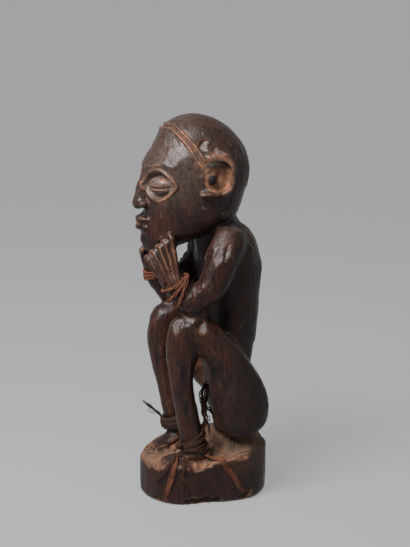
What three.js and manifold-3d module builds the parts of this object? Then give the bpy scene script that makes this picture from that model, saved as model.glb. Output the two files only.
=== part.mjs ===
import * as THREE from "three";
import { mergeVertices } from "three/addons/utils/BufferGeometryUtils.js";
import Module from "manifold-3d";

// A carved wooden figure that squats on a round base, elbows on its knees and hands at its jaw, with
// raffia tied round its wrists and ankles. Millimetres. +Z is up, the figure faces -Y and its own left
// side is +X. The origin is the middle of the underside of the base.

const wasm = await Module();
wasm.setup();

// Base
const baseRadius = 57;
const baseMiddleHeight = 41;
const baseTopSlope = 0.13;
const baseFlatDepthBelow = 21.5;
const baseFlatDepthAbove = 14;
const baseFlatAngle = THREE.MathUtils.degToRad(-5);
const baseFlatSpread = THREE.MathUtils.degToRad(54);
const baseBulge = 3.2;
const baseBulgeAngle = THREE.MathUtils.degToRad(55);
const baseBulgeSpread = THREE.MathUtils.degToRad(24);
const baseLowerRound = 4.5;
const baseUpperRound = 2;
const baseRippleHeight = 0.7;
const seatMound = { y: 29, halfX: 41, halfY: 22, rise: 17 };

// Places that the limbs start from, all on the figure's left side
const ankle = { x: 27, y: -17, z: 62 };
const knee = { x: 31, y: -27, z: 158 };
const hip = { x: 31, y: 25, z: 72 };
const shoulder = { x: 30, y: 14, z: 232 };
const elbow = { x: 33, y: -19.5, z: 182.5 };
const wrist = { x: 30, y: -36.5, z: 201 };
const fingertips = { x: 21.5, y: -46, z: 233 };
const rightArmBack = 6;
const rightKneeDrop = 3;
const rightThighBack = 6;
const rightSeatTuck = 5;
const rightShinBack = 1.5;

// Head, and features laid out on it by the usual rules: eyes at half height, nose base half way from
// the brow to the chin, mouth a third of the way from there to the chin
const headTop = 340;
const chinHeight = 221;
const browHeight = 301;
const eyeHeight = (headTop + chinHeight) / 2;
const noseHeight = (browHeight + chinHeight) / 2;
const mouthHeight = noseHeight - (noseHeight - chinHeight) / 3;
const eyeTurn = 0.52;
const ear = { x: 39, y: -0.5, z: 288.5, halfWidth: 14.2, halfHeight: 16.2 };

// Raffia
const gap = 0.35;
const strandWidth = 3;
const strandThickness = 1.8;

const xAxis = new THREE.Vector3(1, 0, 0);
const zAxis = new THREE.Vector3(0, 0, 1);

// Turns a closed geometry into a solid, its faces outwards.
function toSolid(geometry) {
  const bare = geometry.clone();
  bare.deleteAttribute("normal");
  bare.deleteAttribute("uv");
  const merged = mergeVertices(bare, 1e-4);
  const vertProperties = new Float32Array(merged.attributes.position.array);
  const triVerts = new Uint32Array(merged.index.array);
  const solid = new wasm.Manifold(new wasm.Mesh({ numProp: 3, vertProperties, triVerts }));
  if (solid.volume() > 0) {
    return solid;
  }
  return new wasm.Manifold(new wasm.Mesh({ numProp: 3, vertProperties, triVerts: triVerts.reverse() }));
}

// Moves every point of a geometry by a function of its place.
function warp(geometry, move) {
  const place = geometry.attributes.position;
  const point = new THREE.Vector3();
  for (let i = 0; i < place.count; i += 1) {
    point.fromBufferAttribute(place, i);
    move(point);
    place.setXYZ(i, point.x, point.y, point.z);
  }
  return geometry;
}

function join(solids) {
  return solids.reduce((whole, solid) => whole.add(solid));
}

// A rounded body along a smooth line. Each station is a centre and two half sizes: one across, towards
// the side axis, and one in depth, towards the front of a body that stands up.
class Limb {
  constructor(stations, { sides = 12, rings = 6, caps = 2, ends = null, level = false, side = xAxis } = {}) {
    const centres = stations.map(([x, y, z]) => new THREE.Vector3(x, y, z));
    const girths = stations.map((station) => new THREE.Vector3(station[3], station[4], 0));
    this.path = new THREE.CatmullRomCurve3(centres, false, "catmullrom", 0.5);
    this.girth = new THREE.CatmullRomCurve3(girths, false, "catmullrom", 0.5);
    const first = girths[0];
    const last = girths[girths.length - 1];
    this.ends = ends ?? [Math.min(first.x, first.y), Math.min(last.x, last.y)];
    this.shape = { sides, rings, caps };
    this.level = level;
    this.side = side;
  }

  // A point of the body: share runs 0 to 1 along it and the angle goes round it. push is how far out
  // of the surface the point is, reach is its share of the radius and beyond its share of an end.
  point(share, angle, push = 0, reach = 1, beyond = 0) {
    const centre = this.path.getPoint(share);
    const girth = this.girth.getPoint(share);
    const along = this.level ? zAxis.clone() : this.path.getTangent(share);
    const across = this.side.clone().addScaledVector(along, -this.side.dot(along)).normalize();
    const deep = new THREE.Vector3().crossVectors(across, along);
    const end = (share > 0.5 ? this.ends[1] : -this.ends[0]) + Math.sign(share - 0.5) * push;
    return centre
      .addScaledVector(across, (girth.x + push) * reach * Math.cos(angle))
      .addScaledVector(deep, (girth.y + push) * reach * Math.sin(angle))
      .addScaledVector(along, end * beyond);
  }

  // The share at which the middle line passes a height, for a body that goes steadily up.
  shareAt(height) {
    let low = 0;
    let high = 1;
    for (let i = 0; i < 24; i += 1) {
      const middle = (low + high) / 2;
      if (this.path.getPoint(middle).z < height) {
        low = middle;
      } else {
        high = middle;
      }
    }
    return low;
  }

  solid(push = 0) {
    const { sides, rings, caps } = this.shape;
    const capsule = new THREE.CapsuleGeometry(1, 1, caps, sides, rings);
    return toSolid(warp(capsule, (point) => {
      const share = THREE.MathUtils.clamp(point.y + 0.5, 0, 1);
      const beyond = Math.max(Math.abs(point.y) - 0.5, 0);
      const reach = Math.min(Math.hypot(point.x, point.z), 1);
      point.copy(this.point(share, Math.atan2(point.z, point.x), push, reach, beyond));
    }));
  }
}

// An ellipsoid.
function pebble(x, y, z, halfX, halfY, halfZ, sides = 12, rows = 8) {
  const ball = new THREE.SphereGeometry(1, sides, rows);
  ball.scale(halfX, halfY, halfZ);
  ball.translate(x, y, z);
  return toSolid(ball);
}

// A closed ring whose middle line is place(turn), with its section's two half sizes: out of the
// surface that it lies on, whose outward direction is outward(turn), and along that surface.
function hoop(place, outward, halfOut, halfAlong, steps, sides) {
  const ring = new THREE.TorusGeometry(4, 1, sides, steps);
  return toSolid(warp(ring, (point) => {
    const turn = Math.atan2(point.y, point.x);
    const rise = Math.hypot(point.x, point.y) - 4;
    const along = place(turn + 0.02).sub(place(turn - 0.02)).normalize();
    const out = outward(turn).addScaledVector(along, -outward(turn).dot(along)).normalize();
    const beside = new THREE.Vector3().crossVectors(along, out).negate();
    const across = -point.z * halfAlong;
    point.copy(place(turn)).addScaledVector(out, rise * halfOut).addScaledVector(beside, across);
  }));
}

// A round-sectioned strand along a smooth line.
function strand(points, radius, steps, sides = 6) {
  const section = new THREE.Shape();
  section.absarc(0, 0, radius, 0, Math.PI * 2);
  const path = new THREE.CatmullRomCurve3(points, false, "catmullrom", 0.5);
  return new THREE.ExtrudeGeometry(section, { steps, curveSegments: sides / 2, extrudePath: path });
}

// Base

// How near an angle is to another one, from 1 to 0.
function nearness(angle, other, spread) {
  const off = THREE.MathUtils.euclideanModulo(angle - other + Math.PI, Math.PI * 2) - Math.PI;
  return Math.exp(-((off / spread) ** 2));
}

// The outline is a circle that is cut back on the figure's left, further at the foot than at the top,
// and bulges beside that towards the back.
function baseReach(angle, rise) {
  const depth = THREE.MathUtils.lerp(baseFlatDepthBelow, baseFlatDepthAbove, rise);
  const flat = depth * nearness(angle, baseFlatAngle, baseFlatSpread);
  const bulge = baseBulge * nearness(angle, baseBulgeAngle, baseBulgeSpread);
  return baseRadius - flat + bulge + 0.5 * Math.sin(3 * angle) + 0.4 * Math.sin(7 * angle + 1);
}

// The height of the base's top, which slopes up to the back and swells to a mound under the seat.
function baseTop(x, y) {
  const ripple = Math.sin(x * 0.21 + 0.6) * Math.sin(y * 0.17 + 1.1);
  const off = Math.min(Math.hypot(x / seatMound.halfX, (y - seatMound.y) / seatMound.halfY), 1);
  return baseMiddleHeight + baseTopSlope * y + baseRippleHeight * ripple + seatMound.rise * (1 - off ** 4);
}

// The base turned as a disc, then given its irregular outline and its uneven top.
function makeBase() {
  const profile = [
    [0, 0], [1 - baseLowerRound / baseRadius, 0], [1, 0.12], [1.005, 0.5],
    [0.995, 1 - baseUpperRound / baseMiddleHeight], [1 - baseUpperRound / baseRadius, 1],
    [0.84, 1], [0.71, 1], [0.56, 1], [0.3, 1], [0, 1],
  ].map(([reach, rise]) => new THREE.Vector2(reach, rise));
  const disc = new THREE.LatheGeometry(profile, 26);
  disc.rotateX(Math.PI / 2);
  return toSolid(warp(disc, (point) => {
    const angle = Math.atan2(point.y, point.x);
    const reach = Math.hypot(point.x, point.y) * baseReach(angle, point.z);
    const x = reach * Math.cos(angle);
    const y = reach * Math.sin(angle);
    point.set(x, y, point.z * baseTop(x, y));
  }));
}

// Body

const torso = new Limb([
  [0, 28, 60, 30, 16], [0, 27, 84, 33, 21], [0, 22, 115, 29, 20.5], [0, 25, 150, 28, 23],
  [0, 25.5, 182, 32, 24.5], [0, 22, 208, 36, 27], [0, 19.5, 225, 36, 26.5], [0, 14, 238, 25, 20],
], { sides: 14, rings: 7 });

const neck = new Limb([
  [0, 11, 222, 19, 17], [0, 9, 244, 19, 20], [0, 7, 262, 22, 22],
], { sides: 10, rings: 2, caps: 1 });

const head = new Limb([
  [0, -39, 227, 15, 15], [0, -25, 238, 27, 30], [0, -13, 251, 34, 40.5], [0, -8.5, 268, 37, 43],
  [0, -6.5, 286, 38.5, 46.5], [0, -6, 301, 37.5, 45], [0, -5, 314, 33.5, 38.5], [0, -7.2, 326, 27.5, 30.4],
  [0, -8.5, 334.5, 17, 18.2],
], { sides: 18, rings: 8, caps: 1, ends: [6, 5.5], level: true });

// Arms and legs of one side: way is 1 for the left and -1 for the right.
function armLimbs(way) {
  const back = way < 0 ? rightArmBack : 0;
  const drop = way < 0 ? rightKneeDrop : 0;
  const station = (x, y, z, across, deep) => [way * x, y, z, across, deep];
  const upper = new Limb([
    station(shoulder.x, shoulder.y + back / 2, shoulder.z, 14, 15.5 - back / 2),
    station(36.5, 5.9 + back, 220, 14, 14.4 - back / 4),
    station(39, back, 205, 13, 13.2 - back / 4),
    station(38, -8.2, 193 - drop, 12, 12.2),
    station(elbow.x, elbow.y, elbow.z - drop, 11.5, 11.5),
  ], { sides: 10, rings: 5 });
  const fore = new Limb([
    station(elbow.x + 1, elbow.y, elbow.z - drop, 11.5, 12.5),
    station(wrist.x + 1, wrist.y + 5, wrist.z - 6, 9.5, 11.5),
    station(wrist.x, wrist.y + back * 0.4, wrist.z, 8, 10),
    station(26.5, -41.5 + back * 0.9, 213, 5.5, 10.5),
    station(23, -43.5 + back * 1.2, 225, 4, 10.5),
  ], { sides: 8, rings: 5, caps: 1 });
  return { upper, fore };
}

function fingers(way) {
  const back = way < 0 ? rightArmBack : 0;
  const digits = [];
  for (let i = 0; i < 5; i += 1) {
    const share = i / 4 - 0.5;
    const tip = [
      fingertips.x + 7 * share,
      fingertips.y + 18 * share + 1.2 * back,
      fingertips.z + 19 * share,
    ];
    const root = [wrist.x + 1 - 0.5 * share, wrist.y - 3 + 12 * share + 0.5 * back, wrist.z + 3 + 6 * share];
    const knuckle = tip.map((value, axis) => THREE.MathUtils.lerp(root[axis], value, 0.5));
    const stations = [
      [way * (root[0] + 2.5), root[1], root[2], 2.4, 1.6],
      [way * (knuckle[0] + 4), knuckle[1], knuckle[2], 2.6, 2],
      [way * (tip[0] + 2.2), tip[1], tip[2] - 2.5, 2.7, 2.1],
    ];
    digits.push(new Limb(stations, { sides: 4, rings: 2, caps: 1 }).solid());
  }
  return digits;
}

function legLimbs(way) {
  const back = way < 0 ? rightThighBack : 0;
  const drop = way < 0 ? rightKneeDrop : 0;
  const shinBack = way < 0 ? rightShinBack : 0;
  const tuck = way < 0 ? rightSeatTuck : 0;
  const station = (x, y, z, across, deep) => [way * x, y, z, across, deep];
  const thigh = new Limb([
    station(hip.x, hip.y + back * 0.7 + tuck, hip.z, 17, 23 - back * 0.7 - tuck),
    station(32, 24 + back + tuck * 0.4, 88, 17.5, 25 - back * 0.5 - tuck * 0.4),
    station(33, 17.5 + back * 0.5, 108, 16.5, 22.5),
    station(33, 8.5, 130, 15, 17.5 + back * 0.3),
    station(32.5, -4, 147 - drop, 13.5, 15),
    station(knee.x + 0.5, knee.y + 7, knee.z + 3.5 - drop, 13, 14),
  ], { sides: 12, rings: 5, caps: 2, ends: [12.5, 12] });
  const shin = new Limb([
    station(ankle.x, ankle.y + 1, ankle.z - 16, 9, 10),
    station(ankle.x, ankle.y - 1.8 + shinBack, ankle.z - 2, 9.2, 10.4),
    station(27.6, -21.9 + shinBack, 72, 9, 9.9),
    station(28.4, -24.2 + shinBack, 85, 9, 9.9),
    station(29, -26.6 + shinBack, 96, 9, 9.6),
    station(30, -29.2, 117, 10, 10.5),
    station(30.5, -28.6, 138, 11.5, 14.2),
    station(knee.x, knee.y + drop / 2, knee.z - drop, 12.5, 13.5),
  ], { sides: 10, rings: 7, ends: [3, 14] });
  return { thigh, shin };
}

function makeFoot(way) {
  const sole = new Limb([
    [way * 28, -7, 45, 7, 5], [way * 26.5, -16, 45.5, 9, 7], [way * 23.5, -28, 41, 9.5, 4.5],
    [way * 21.5, -35, 38.5, 9.5, 3.5],
  ], { sides: 8, rings: 3, caps: 1 });
  const toes = [];
  for (let i = 0; i < 5; i += 1) {
    const across = (i - 2) * 4.2;
    const x = way * (20.5 + across);
    const front = -42.5 + Math.abs(across) * 0.22 + i * 0.4;
    toes.push(new Limb([
      [x + way * 1.2, front + 10, baseTop(x, front + 10) + 3, 1.9, 2.4],
      [x, front, baseTop(x, front) + 1.6, 1.8, 2.4],
    ], { sides: 5, rings: 1, caps: 1 }).solid());
  }
  return [sole.solid(), ...toes];
}

// Face and ears

// A point of the head at a height, its rounded top included, turned from the front to its left side.
function onHead(height, turn, push) {
  const topStation = head.path.getPoint(1).z;
  const beyond = Math.max(height - topStation, 0) / head.ends[1];
  return head.point(head.shareAt(height), Math.PI / 2 - turn, push, Math.sqrt(1 - beyond * beyond), beyond);
}

function outOfHead(height, turn) {
  return onHead(height, turn, 5).sub(onHead(height, turn, 0)).normalize();
}

// The lens-shaped line round an eye socket, for a turn round it.
function socketLine(way, turn) {
  const wide = Math.cos(turn);
  const high = Math.sin(turn);
  return [eyeHeight + 13 * high * (1 - 0.45 * wide * wide), way * (eyeTurn + 0.44 * wide), 0.6];
}

function makeEye(way) {
  const rim = hoop(
    (turn) => onHead(...socketLine(way, turn)),
    (turn) => outOfHead(...socketLine(way, turn)),
    1.8, 1.5, 12, 4,
  );
  const middle = onHead(eyeHeight, way * eyeTurn, -3.5);
  const upper = pebble(middle.x, middle.y, middle.z + 1.2, 11.5, 5.2, 6.4, 7, 5);
  const lower = pebble(middle.x, middle.y + 0.6, middle.z - 2.2, 10.5, 4.3, 4.8, 7, 5);
  return { rim, lids: upper.add(lower) };
}

function makeSocket(way) {
  const middle = onHead(eyeHeight, way * eyeTurn, 2);
  const hollow = new THREE.SphereGeometry(1, 10, 6);
  hollow.scale(15.5, 7, 11.5);
  hollow.rotateZ(way * eyeTurn * 1.25);
  hollow.translate(middle.x, middle.y, middle.z);
  return toSolid(hollow);
}

function makeNose() {
  const bridge = new Limb([
    [0, -50.5, browHeight - 5, 3, 4], [0, -54, browHeight - 18, 3.6, 4.5], [0, -57, noseHeight + 8, 5, 5],
    [0, -57.5, noseHeight + 2.5, 6.5, 4.5],
  ], { sides: 8, rings: 4 });
  const wings = [-1, 1].map((way) => pebble(way * 5.6, -55, noseHeight + 3, 4, 5, 3.6, 6, 5));
  return [bridge.solid(), ...wings];
}

function makeLips() {
  return [[2.6, 3.1], [-3.2, 3.4]].map(([rise, half]) => {
    const z = mouthHeight + rise;
    const bow = rise > 0 ? 0.8 : 0;
    return new Limb([
      [-12, -47, z - 0.6, 1.6, 3], [-6, -53.5, z + bow, half, 5], [0, -55, z, half, 5.5],
      [6, -53.5, z + bow, half, 5], [12, -47, z - 0.6, 1.6, 3],
    ], { sides: 6, rings: 6, side: zAxis }).solid();
  });
}

// The cupped ear: a shallow bowl turned about its own axis, then stretched to the ear's outline. It
// stands out behind and sinks into the head in front.
function makeEar(way) {
  const profile = [
    [0, -9], [0.8, -9], [0.97, 0], [0.93, 1.6], [0.8, 1.9], [0.66, 0.2], [0.42, -3.2], [0, -4.2],
  ].map(([reach, out]) => new THREE.Vector2(reach, out));
  const bowl = new THREE.LatheGeometry(profile, 14);
  bowl.rotateZ(-Math.PI / 2);
  return toSolid(warp(bowl, (point) => {
    const back = point.z * way;
    const high = point.y;
    const out = point.x + 2 + 3.8 * back;
    point.set(way * (ear.x + out), ear.y + ear.halfWidth * back, ear.z + ear.halfHeight * high);
  }));
}

// The hollow of the ear, which runs on into the side of the head in front.
function makeEarHollow(way) {
  const halfY = ear.halfWidth * 0.72;
  const halfZ = ear.halfHeight * 0.72;
  return pebble(way * (ear.x + 5), ear.y - 1, ear.z + 0.5, 9, halfY, halfZ, 8, 5);
}

// The shelf at the foot of the ear.
function makeEarLobe(way) {
  return pebble(way * (ear.x + 1.5), ear.y - 5, ear.z - 14.5, 4.5, 9, 2.6, 7, 5);
}

// Two raised lines run level across the top of the forehead, then down to the front of each ear.
function makeHairline(way) {
  return [-2.3, 2.3].map((above) => {
    const points = [];
    for (let i = 0; i <= 8; i += 1) {
      const turn = THREE.MathUtils.lerp(-0.03, 1.42, i / 8);
      const fall = 27 * Math.max(0, (turn - 0.45) / 0.95) ** 2;
      points.push(onHead(329 - fall + above * (1 - 0.35 * turn), way * turn, 0.9));
    }
    return toSolid(strand(points, 1.5, 8, 4));
  });
}

// Raffia

// Strands wound round a limb, each with its middle share along the limb and how far it leans there.
// A positive lean carries the strand further along the limb at the back than at the front.
function windings(limb, turns, width = strandWidth, thickness = strandThickness) {
  return turns.map(([share, lean], i) => {
    const push = gap + thickness / 2 + 1.1 + 0.35 * (i % 2);
    const at = (turn) => limb.point(share - lean * Math.sin(turn), turn, push);
    const out = (turn) => limb.point(share, turn, 5).sub(limb.point(share, turn, 0));
    return hoop(at, out, thickness / 2, width / 2, 11, 4);
  });
}

function shortEnd(points, radius) {
  return toSolid(strand(points.map(([x, y, z]) => new THREE.Vector3(x, y, z)), radius, 4, 4));
}

function lashing(limb, turns, extras = [], width = strandWidth, thickness = strandThickness) {
  return join([...windings(limb, turns, width, thickness), ...extras]);
}

const leftArm = armLimbs(1);
const rightArm = armLimbs(-1);
const leftLeg = legLimbs(1);
const rightLeg = legLimbs(-1);

// Figure

function makeFigure() {
  const eyes = [1, -1].map(makeEye);
  let skull = head.solid();
  for (const way of [1, -1]) {
    skull = skull.add(makeEar(way)).subtract(makeEarHollow(way)).subtract(makeSocket(way));
  }
  const parts = [skull, neck.solid(), torso.solid(), makeBase(), ...makeNose(), ...makeLips()];
  for (const { rim, lids } of eyes) {
    parts.push(rim, lids);
  }
  for (const way of [1, -1]) {
    parts.push(makeEarLobe(way), ...makeHairline(way), ...fingers(way), ...makeFoot(way));
  }
  for (const { upper, fore } of [leftArm, rightArm]) {
    parts.push(upper.solid(), fore.solid());
  }
  for (const { thigh, shin } of [leftLeg, rightLeg]) {
    parts.push(thigh.solid(), shin.solid());
  }
  return join(parts);
}

const figure = makeFigure();

const leftWristLashing = lashing(leftArm.fore, [[0.4, -0.05], [0.275, 0.055], [0.2, 0.1]]);
const rightWristLashing = lashing(rightArm.fore, [[0.48, -0.02], [0.4, 0.035]]);
const leftAnkleTurns = [[0.16, 0.042], [0.125, 0.025], [0.082, -0.01], [0.056, -0.03]];
const leftAnkleLashing = lashing(leftLeg.shin, leftAnkleTurns, [
  pebble(31.5, -32.8, 55.5, 4, 2.6, 4.4, 6, 4),
]);
const rightAnkleLashing = lashing(rightLeg.shin, [[0.174, 0.004], [0.138, 0], [0.102, 0.004]], [
  shortEnd([
    [-27.2, -31, 62], [-27, -33, 65.4], [-27, -35.6, 68.2], [-27, -40.5, 72.6], [-27, -45.2, 76.7],
    [-27, -48.4, 79.8],
  ], 1.3),
], 5.6, 4.4);

// Free ends of the raffia
const tailRadius = 1.5;
const leafRadius = 2.2;
const curlRadius = 1.2;
const leftTailFront = [
  [32, -34, 48.4], [32.2, -34.6, 46], [32.8, -35.4, 43], [33.7, -36.5, 39.5], [34.4, -38.3, 36],
  [34.1, -38.8, 32.5], [33.3, -39.3, 29], [32.4, -39.9, 26], [31.6, -40.6, 22.5], [30.7, -41.4, 19],
  [29.6, -42.2, 15.5], [28.6, -42.8, 12.5], [27.8, -43.3, 9.5], [27.2, -43.7, 6.5], [26.7, -44.1, 4],
];
const leftTailBack = [
  [36.9, -9.4, 47.2], [37.5, -7.4, 46.4], [37.9, -5.4, 45.6], [38.5, -3.4, 44.7], [39.5, -1.4, 44.2],
  [40.8, 0.6, 44.2], [42.8, 2.6, 44.6], [45.4, 4.3, 43.2], [46.4, 6, 39.4], [45.9, 7.8, 35.6],
  [45.5, 9.8, 32.6], [45.2, 12, 29.8], [45, 14.4, 26.6], [44.6, 16.6, 23], [44.2, 18.8, 19.2],
  [43.7, 21, 15.4], [43.1, 23.8, 12.2], [42.4, 27, 9.4],
];
const leftTailCurl = [
  [26, -2.6, 61.8], [24.8, -2.4, 65.2], [23.2, -2.8, 69.2], [21.6, -4.6, 73.4], [20.4, -5.8, 78], [19.2, -6.8, 83],
  [18, -7, 88], [16.6, -6.4, 93], [15, -5.2, 97.6], [13.4, -3.4, 101], [12, -1.6, 102.6], [11, 0, 101],
  [10.6, 0.4, 97], [10.8, -0.2, 92], [11.4, -1.2, 87], [11.6, -1.6, 82], [11, -1, 77], [10.2, 0.2, 73],
  [9.6, 1.4, 69.6], [9.4, 2.6, 66.4],
];

function cord(route, radius) {
  const points = route.map(([x, y, z]) => new THREE.Vector3(x, y, z));
  const path = new THREE.CatmullRomCurve3(points, false, "catmullrom", 0.5);
  const steps = Math.max(6, Math.round(path.getLength() / (radius * 4)));
  return strand(points, radius, steps, 8);
}

// Assembly

const woodMaterial = new THREE.MeshStandardMaterial({ color: 0x2e201d, roughness: 0.45, metalness: 0 });
const raffiaMaterial = new THREE.MeshStandardMaterial({ color: 0x6b3a22, roughness: 0.85, metalness: 0 });
const fibreMaterial = new THREE.MeshStandardMaterial({ color: 0x5a3a22, roughness: 0.9, metalness: 0 });

function toMesh(solid, name, material) {
  const { vertProperties, triVerts } = solid.getMesh();
  const geometry = new THREE.BufferGeometry();
  geometry.setAttribute("position", new THREE.BufferAttribute(new Float32Array(vertProperties), 3));
  geometry.setIndex(new THREE.BufferAttribute(new Uint32Array(triVerts), 1));
  geometry.computeVertexNormals();
  const mesh = new THREE.Mesh(geometry, material);
  mesh.name = name;
  return mesh;
}

function cordMesh(route, radius, name, material) {
  const mesh = new THREE.Mesh(cord(route, radius), material);
  mesh.name = name;
  return mesh;
}

const group = new THREE.Group();
group.name = "squatting_figure";
group.add(toMesh(figure, "figure", woodMaterial));
group.add(toMesh(leftWristLashing, "left_wrist_lashing", raffiaMaterial));
group.add(toMesh(rightWristLashing, "right_wrist_lashing", raffiaMaterial));
group.add(toMesh(leftAnkleLashing, "left_ankle_lashing", raffiaMaterial));
group.add(toMesh(rightAnkleLashing, "right_ankle_lashing", fibreMaterial));
group.add(cordMesh(leftTailFront, tailRadius, "left_ankle_tail_front", raffiaMaterial));
group.add(cordMesh(leftTailBack, leafRadius, "left_ankle_tail_back", raffiaMaterial));
group.add(cordMesh(leftTailCurl, curlRadius, "left_ankle_tail_curl", fibreMaterial));
export default group;
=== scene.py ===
import math
import random

import bmesh
import bpy
import numpy as np
from mathutils import Matrix, Vector, kdtree


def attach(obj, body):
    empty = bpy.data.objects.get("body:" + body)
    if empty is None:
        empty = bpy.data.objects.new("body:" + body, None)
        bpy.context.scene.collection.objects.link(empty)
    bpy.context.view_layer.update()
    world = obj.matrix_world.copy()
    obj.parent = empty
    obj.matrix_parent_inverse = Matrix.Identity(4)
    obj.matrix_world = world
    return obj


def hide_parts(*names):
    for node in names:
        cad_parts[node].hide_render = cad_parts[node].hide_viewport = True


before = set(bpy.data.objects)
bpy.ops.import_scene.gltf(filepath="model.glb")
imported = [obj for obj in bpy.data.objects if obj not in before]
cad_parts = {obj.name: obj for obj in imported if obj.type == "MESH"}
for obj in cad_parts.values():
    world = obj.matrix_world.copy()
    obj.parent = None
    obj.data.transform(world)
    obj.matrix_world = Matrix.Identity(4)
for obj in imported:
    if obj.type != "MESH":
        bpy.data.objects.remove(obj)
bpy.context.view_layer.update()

# A carved wooden figure that squats on a round base, with raffia tied round its wrists and ankles.
# Sizes are written in millimetres and multiplied by mm. The figure faces -Y, its left side is +X.

scene = bpy.context.scene
mm = 0.001

cameraValues = {"place": (850.2, -276.3, 375), "azimuth": 72, "pitch": 11.08, "lens": 68.31, "shift": 0.0037}


def makeCamera(values):
    data = bpy.data.cameras.new("camera")
    data.lens = values["lens"]
    data.sensor_width = 36
    data.shift_x = values["shift"]
    data.clip_start = 0.01
    camera = bpy.data.objects.new("camera", data)
    camera.location = Vector(values["place"]) * mm
    camera.rotation_euler = (math.radians(90 - values["pitch"]), 0, math.radians(values["azimuth"]))
    scene.collection.objects.link(camera)
    scene.camera = camera


makeCamera(cameraValues)
print("camera ready")


# Materials

def addNode(tree, kind, inputs, **settings):  # each input is a value or another node's socket
    node = tree.nodes.new(kind)
    for name, value in settings.items():
        setattr(node, name, value)
    for key, value in inputs.items():
        if isinstance(value, bpy.types.NodeSocket):
            tree.links.new(value, node.inputs[key])
        else:
            node.inputs[key].default_value = value
    return node


def mixColours(tree, share, first, second):
    return addNode(tree, "ShaderNodeMix", {0: share, 6: first, 7: second}, data_type="RGBA").outputs[2]


def ramp(tree, source, low, high, least=0.0, most=1.0):
    inputs = {0: source, 1: low, 2: high, 3: least, 4: most}
    return addNode(tree, "ShaderNodeMapRange", inputs, interpolation_type="SMOOTHSTEP").outputs[0]


def calculate(tree, kind, first, second):
    return addNode(tree, "ShaderNodeMath", {0: first, 1: second}, operation=kind).outputs[0]


def noiseOf(tree, source, scale, stretch=(1, 1, 1), detail=4.0, roughness=0.55):
    place = addNode(tree, "ShaderNodeMapping", {"Scale": stretch, "Vector": source}).outputs[0]
    inputs = {"Vector": place, "Scale": scale, "Detail": detail, "Roughness": roughness}
    return addNode(tree, "ShaderNodeTexNoise", inputs).outputs["Fac"]


def attributeOf(tree, name):
    return addNode(tree, "ShaderNodeAttribute", {}, attribute_name=name).outputs["Fac"]


def newMaterial(name):
    material = bpy.data.materials.new(name)
    material.use_nodes = True
    tree = material.node_tree
    return material, tree, tree.nodes["Principled BSDF"], tree.nodes.new("ShaderNodeTexCoord").outputs["Object"]


def addBump(tree, shader, layers):  # layers are height, strength and distance, the broadest first
    last = None
    for height, strength, distance in layers:
        inputs = {"Height": height, "Strength": strength, "Distance": distance}
        if last:
            inputs["Normal"] = last
        last = addNode(tree, "ShaderNodeBump", inputs).outputs[0]
    tree.links.new(last, shader.inputs["Normal"])


patina = {
    "dark": (0.0115, 0.0068, 0.0056, 1), "warm": (0.031, 0.0092, 0.0056, 1), "black": (0.004, 0.003, 0.003, 1),
    "wornAndLitTone": (0.2, 0.092, 0.052, 1), "dustAndLitTone": (0.16, 0.068, 0.029, 1), "baseTop": (0.165, 0.09, 0.055, 1),
    "grey": (0.1, 0.075, 0.062, 1), "crack": (0.014, 0.008, 0.006, 1), "roughLow": 0.25, "roughHigh": 0.44,
    "dullRough": 0.45, "specular": 0.22, "crackScale": 75, "crackBend": 0.012, "crackHalf": 0.045,
}


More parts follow.
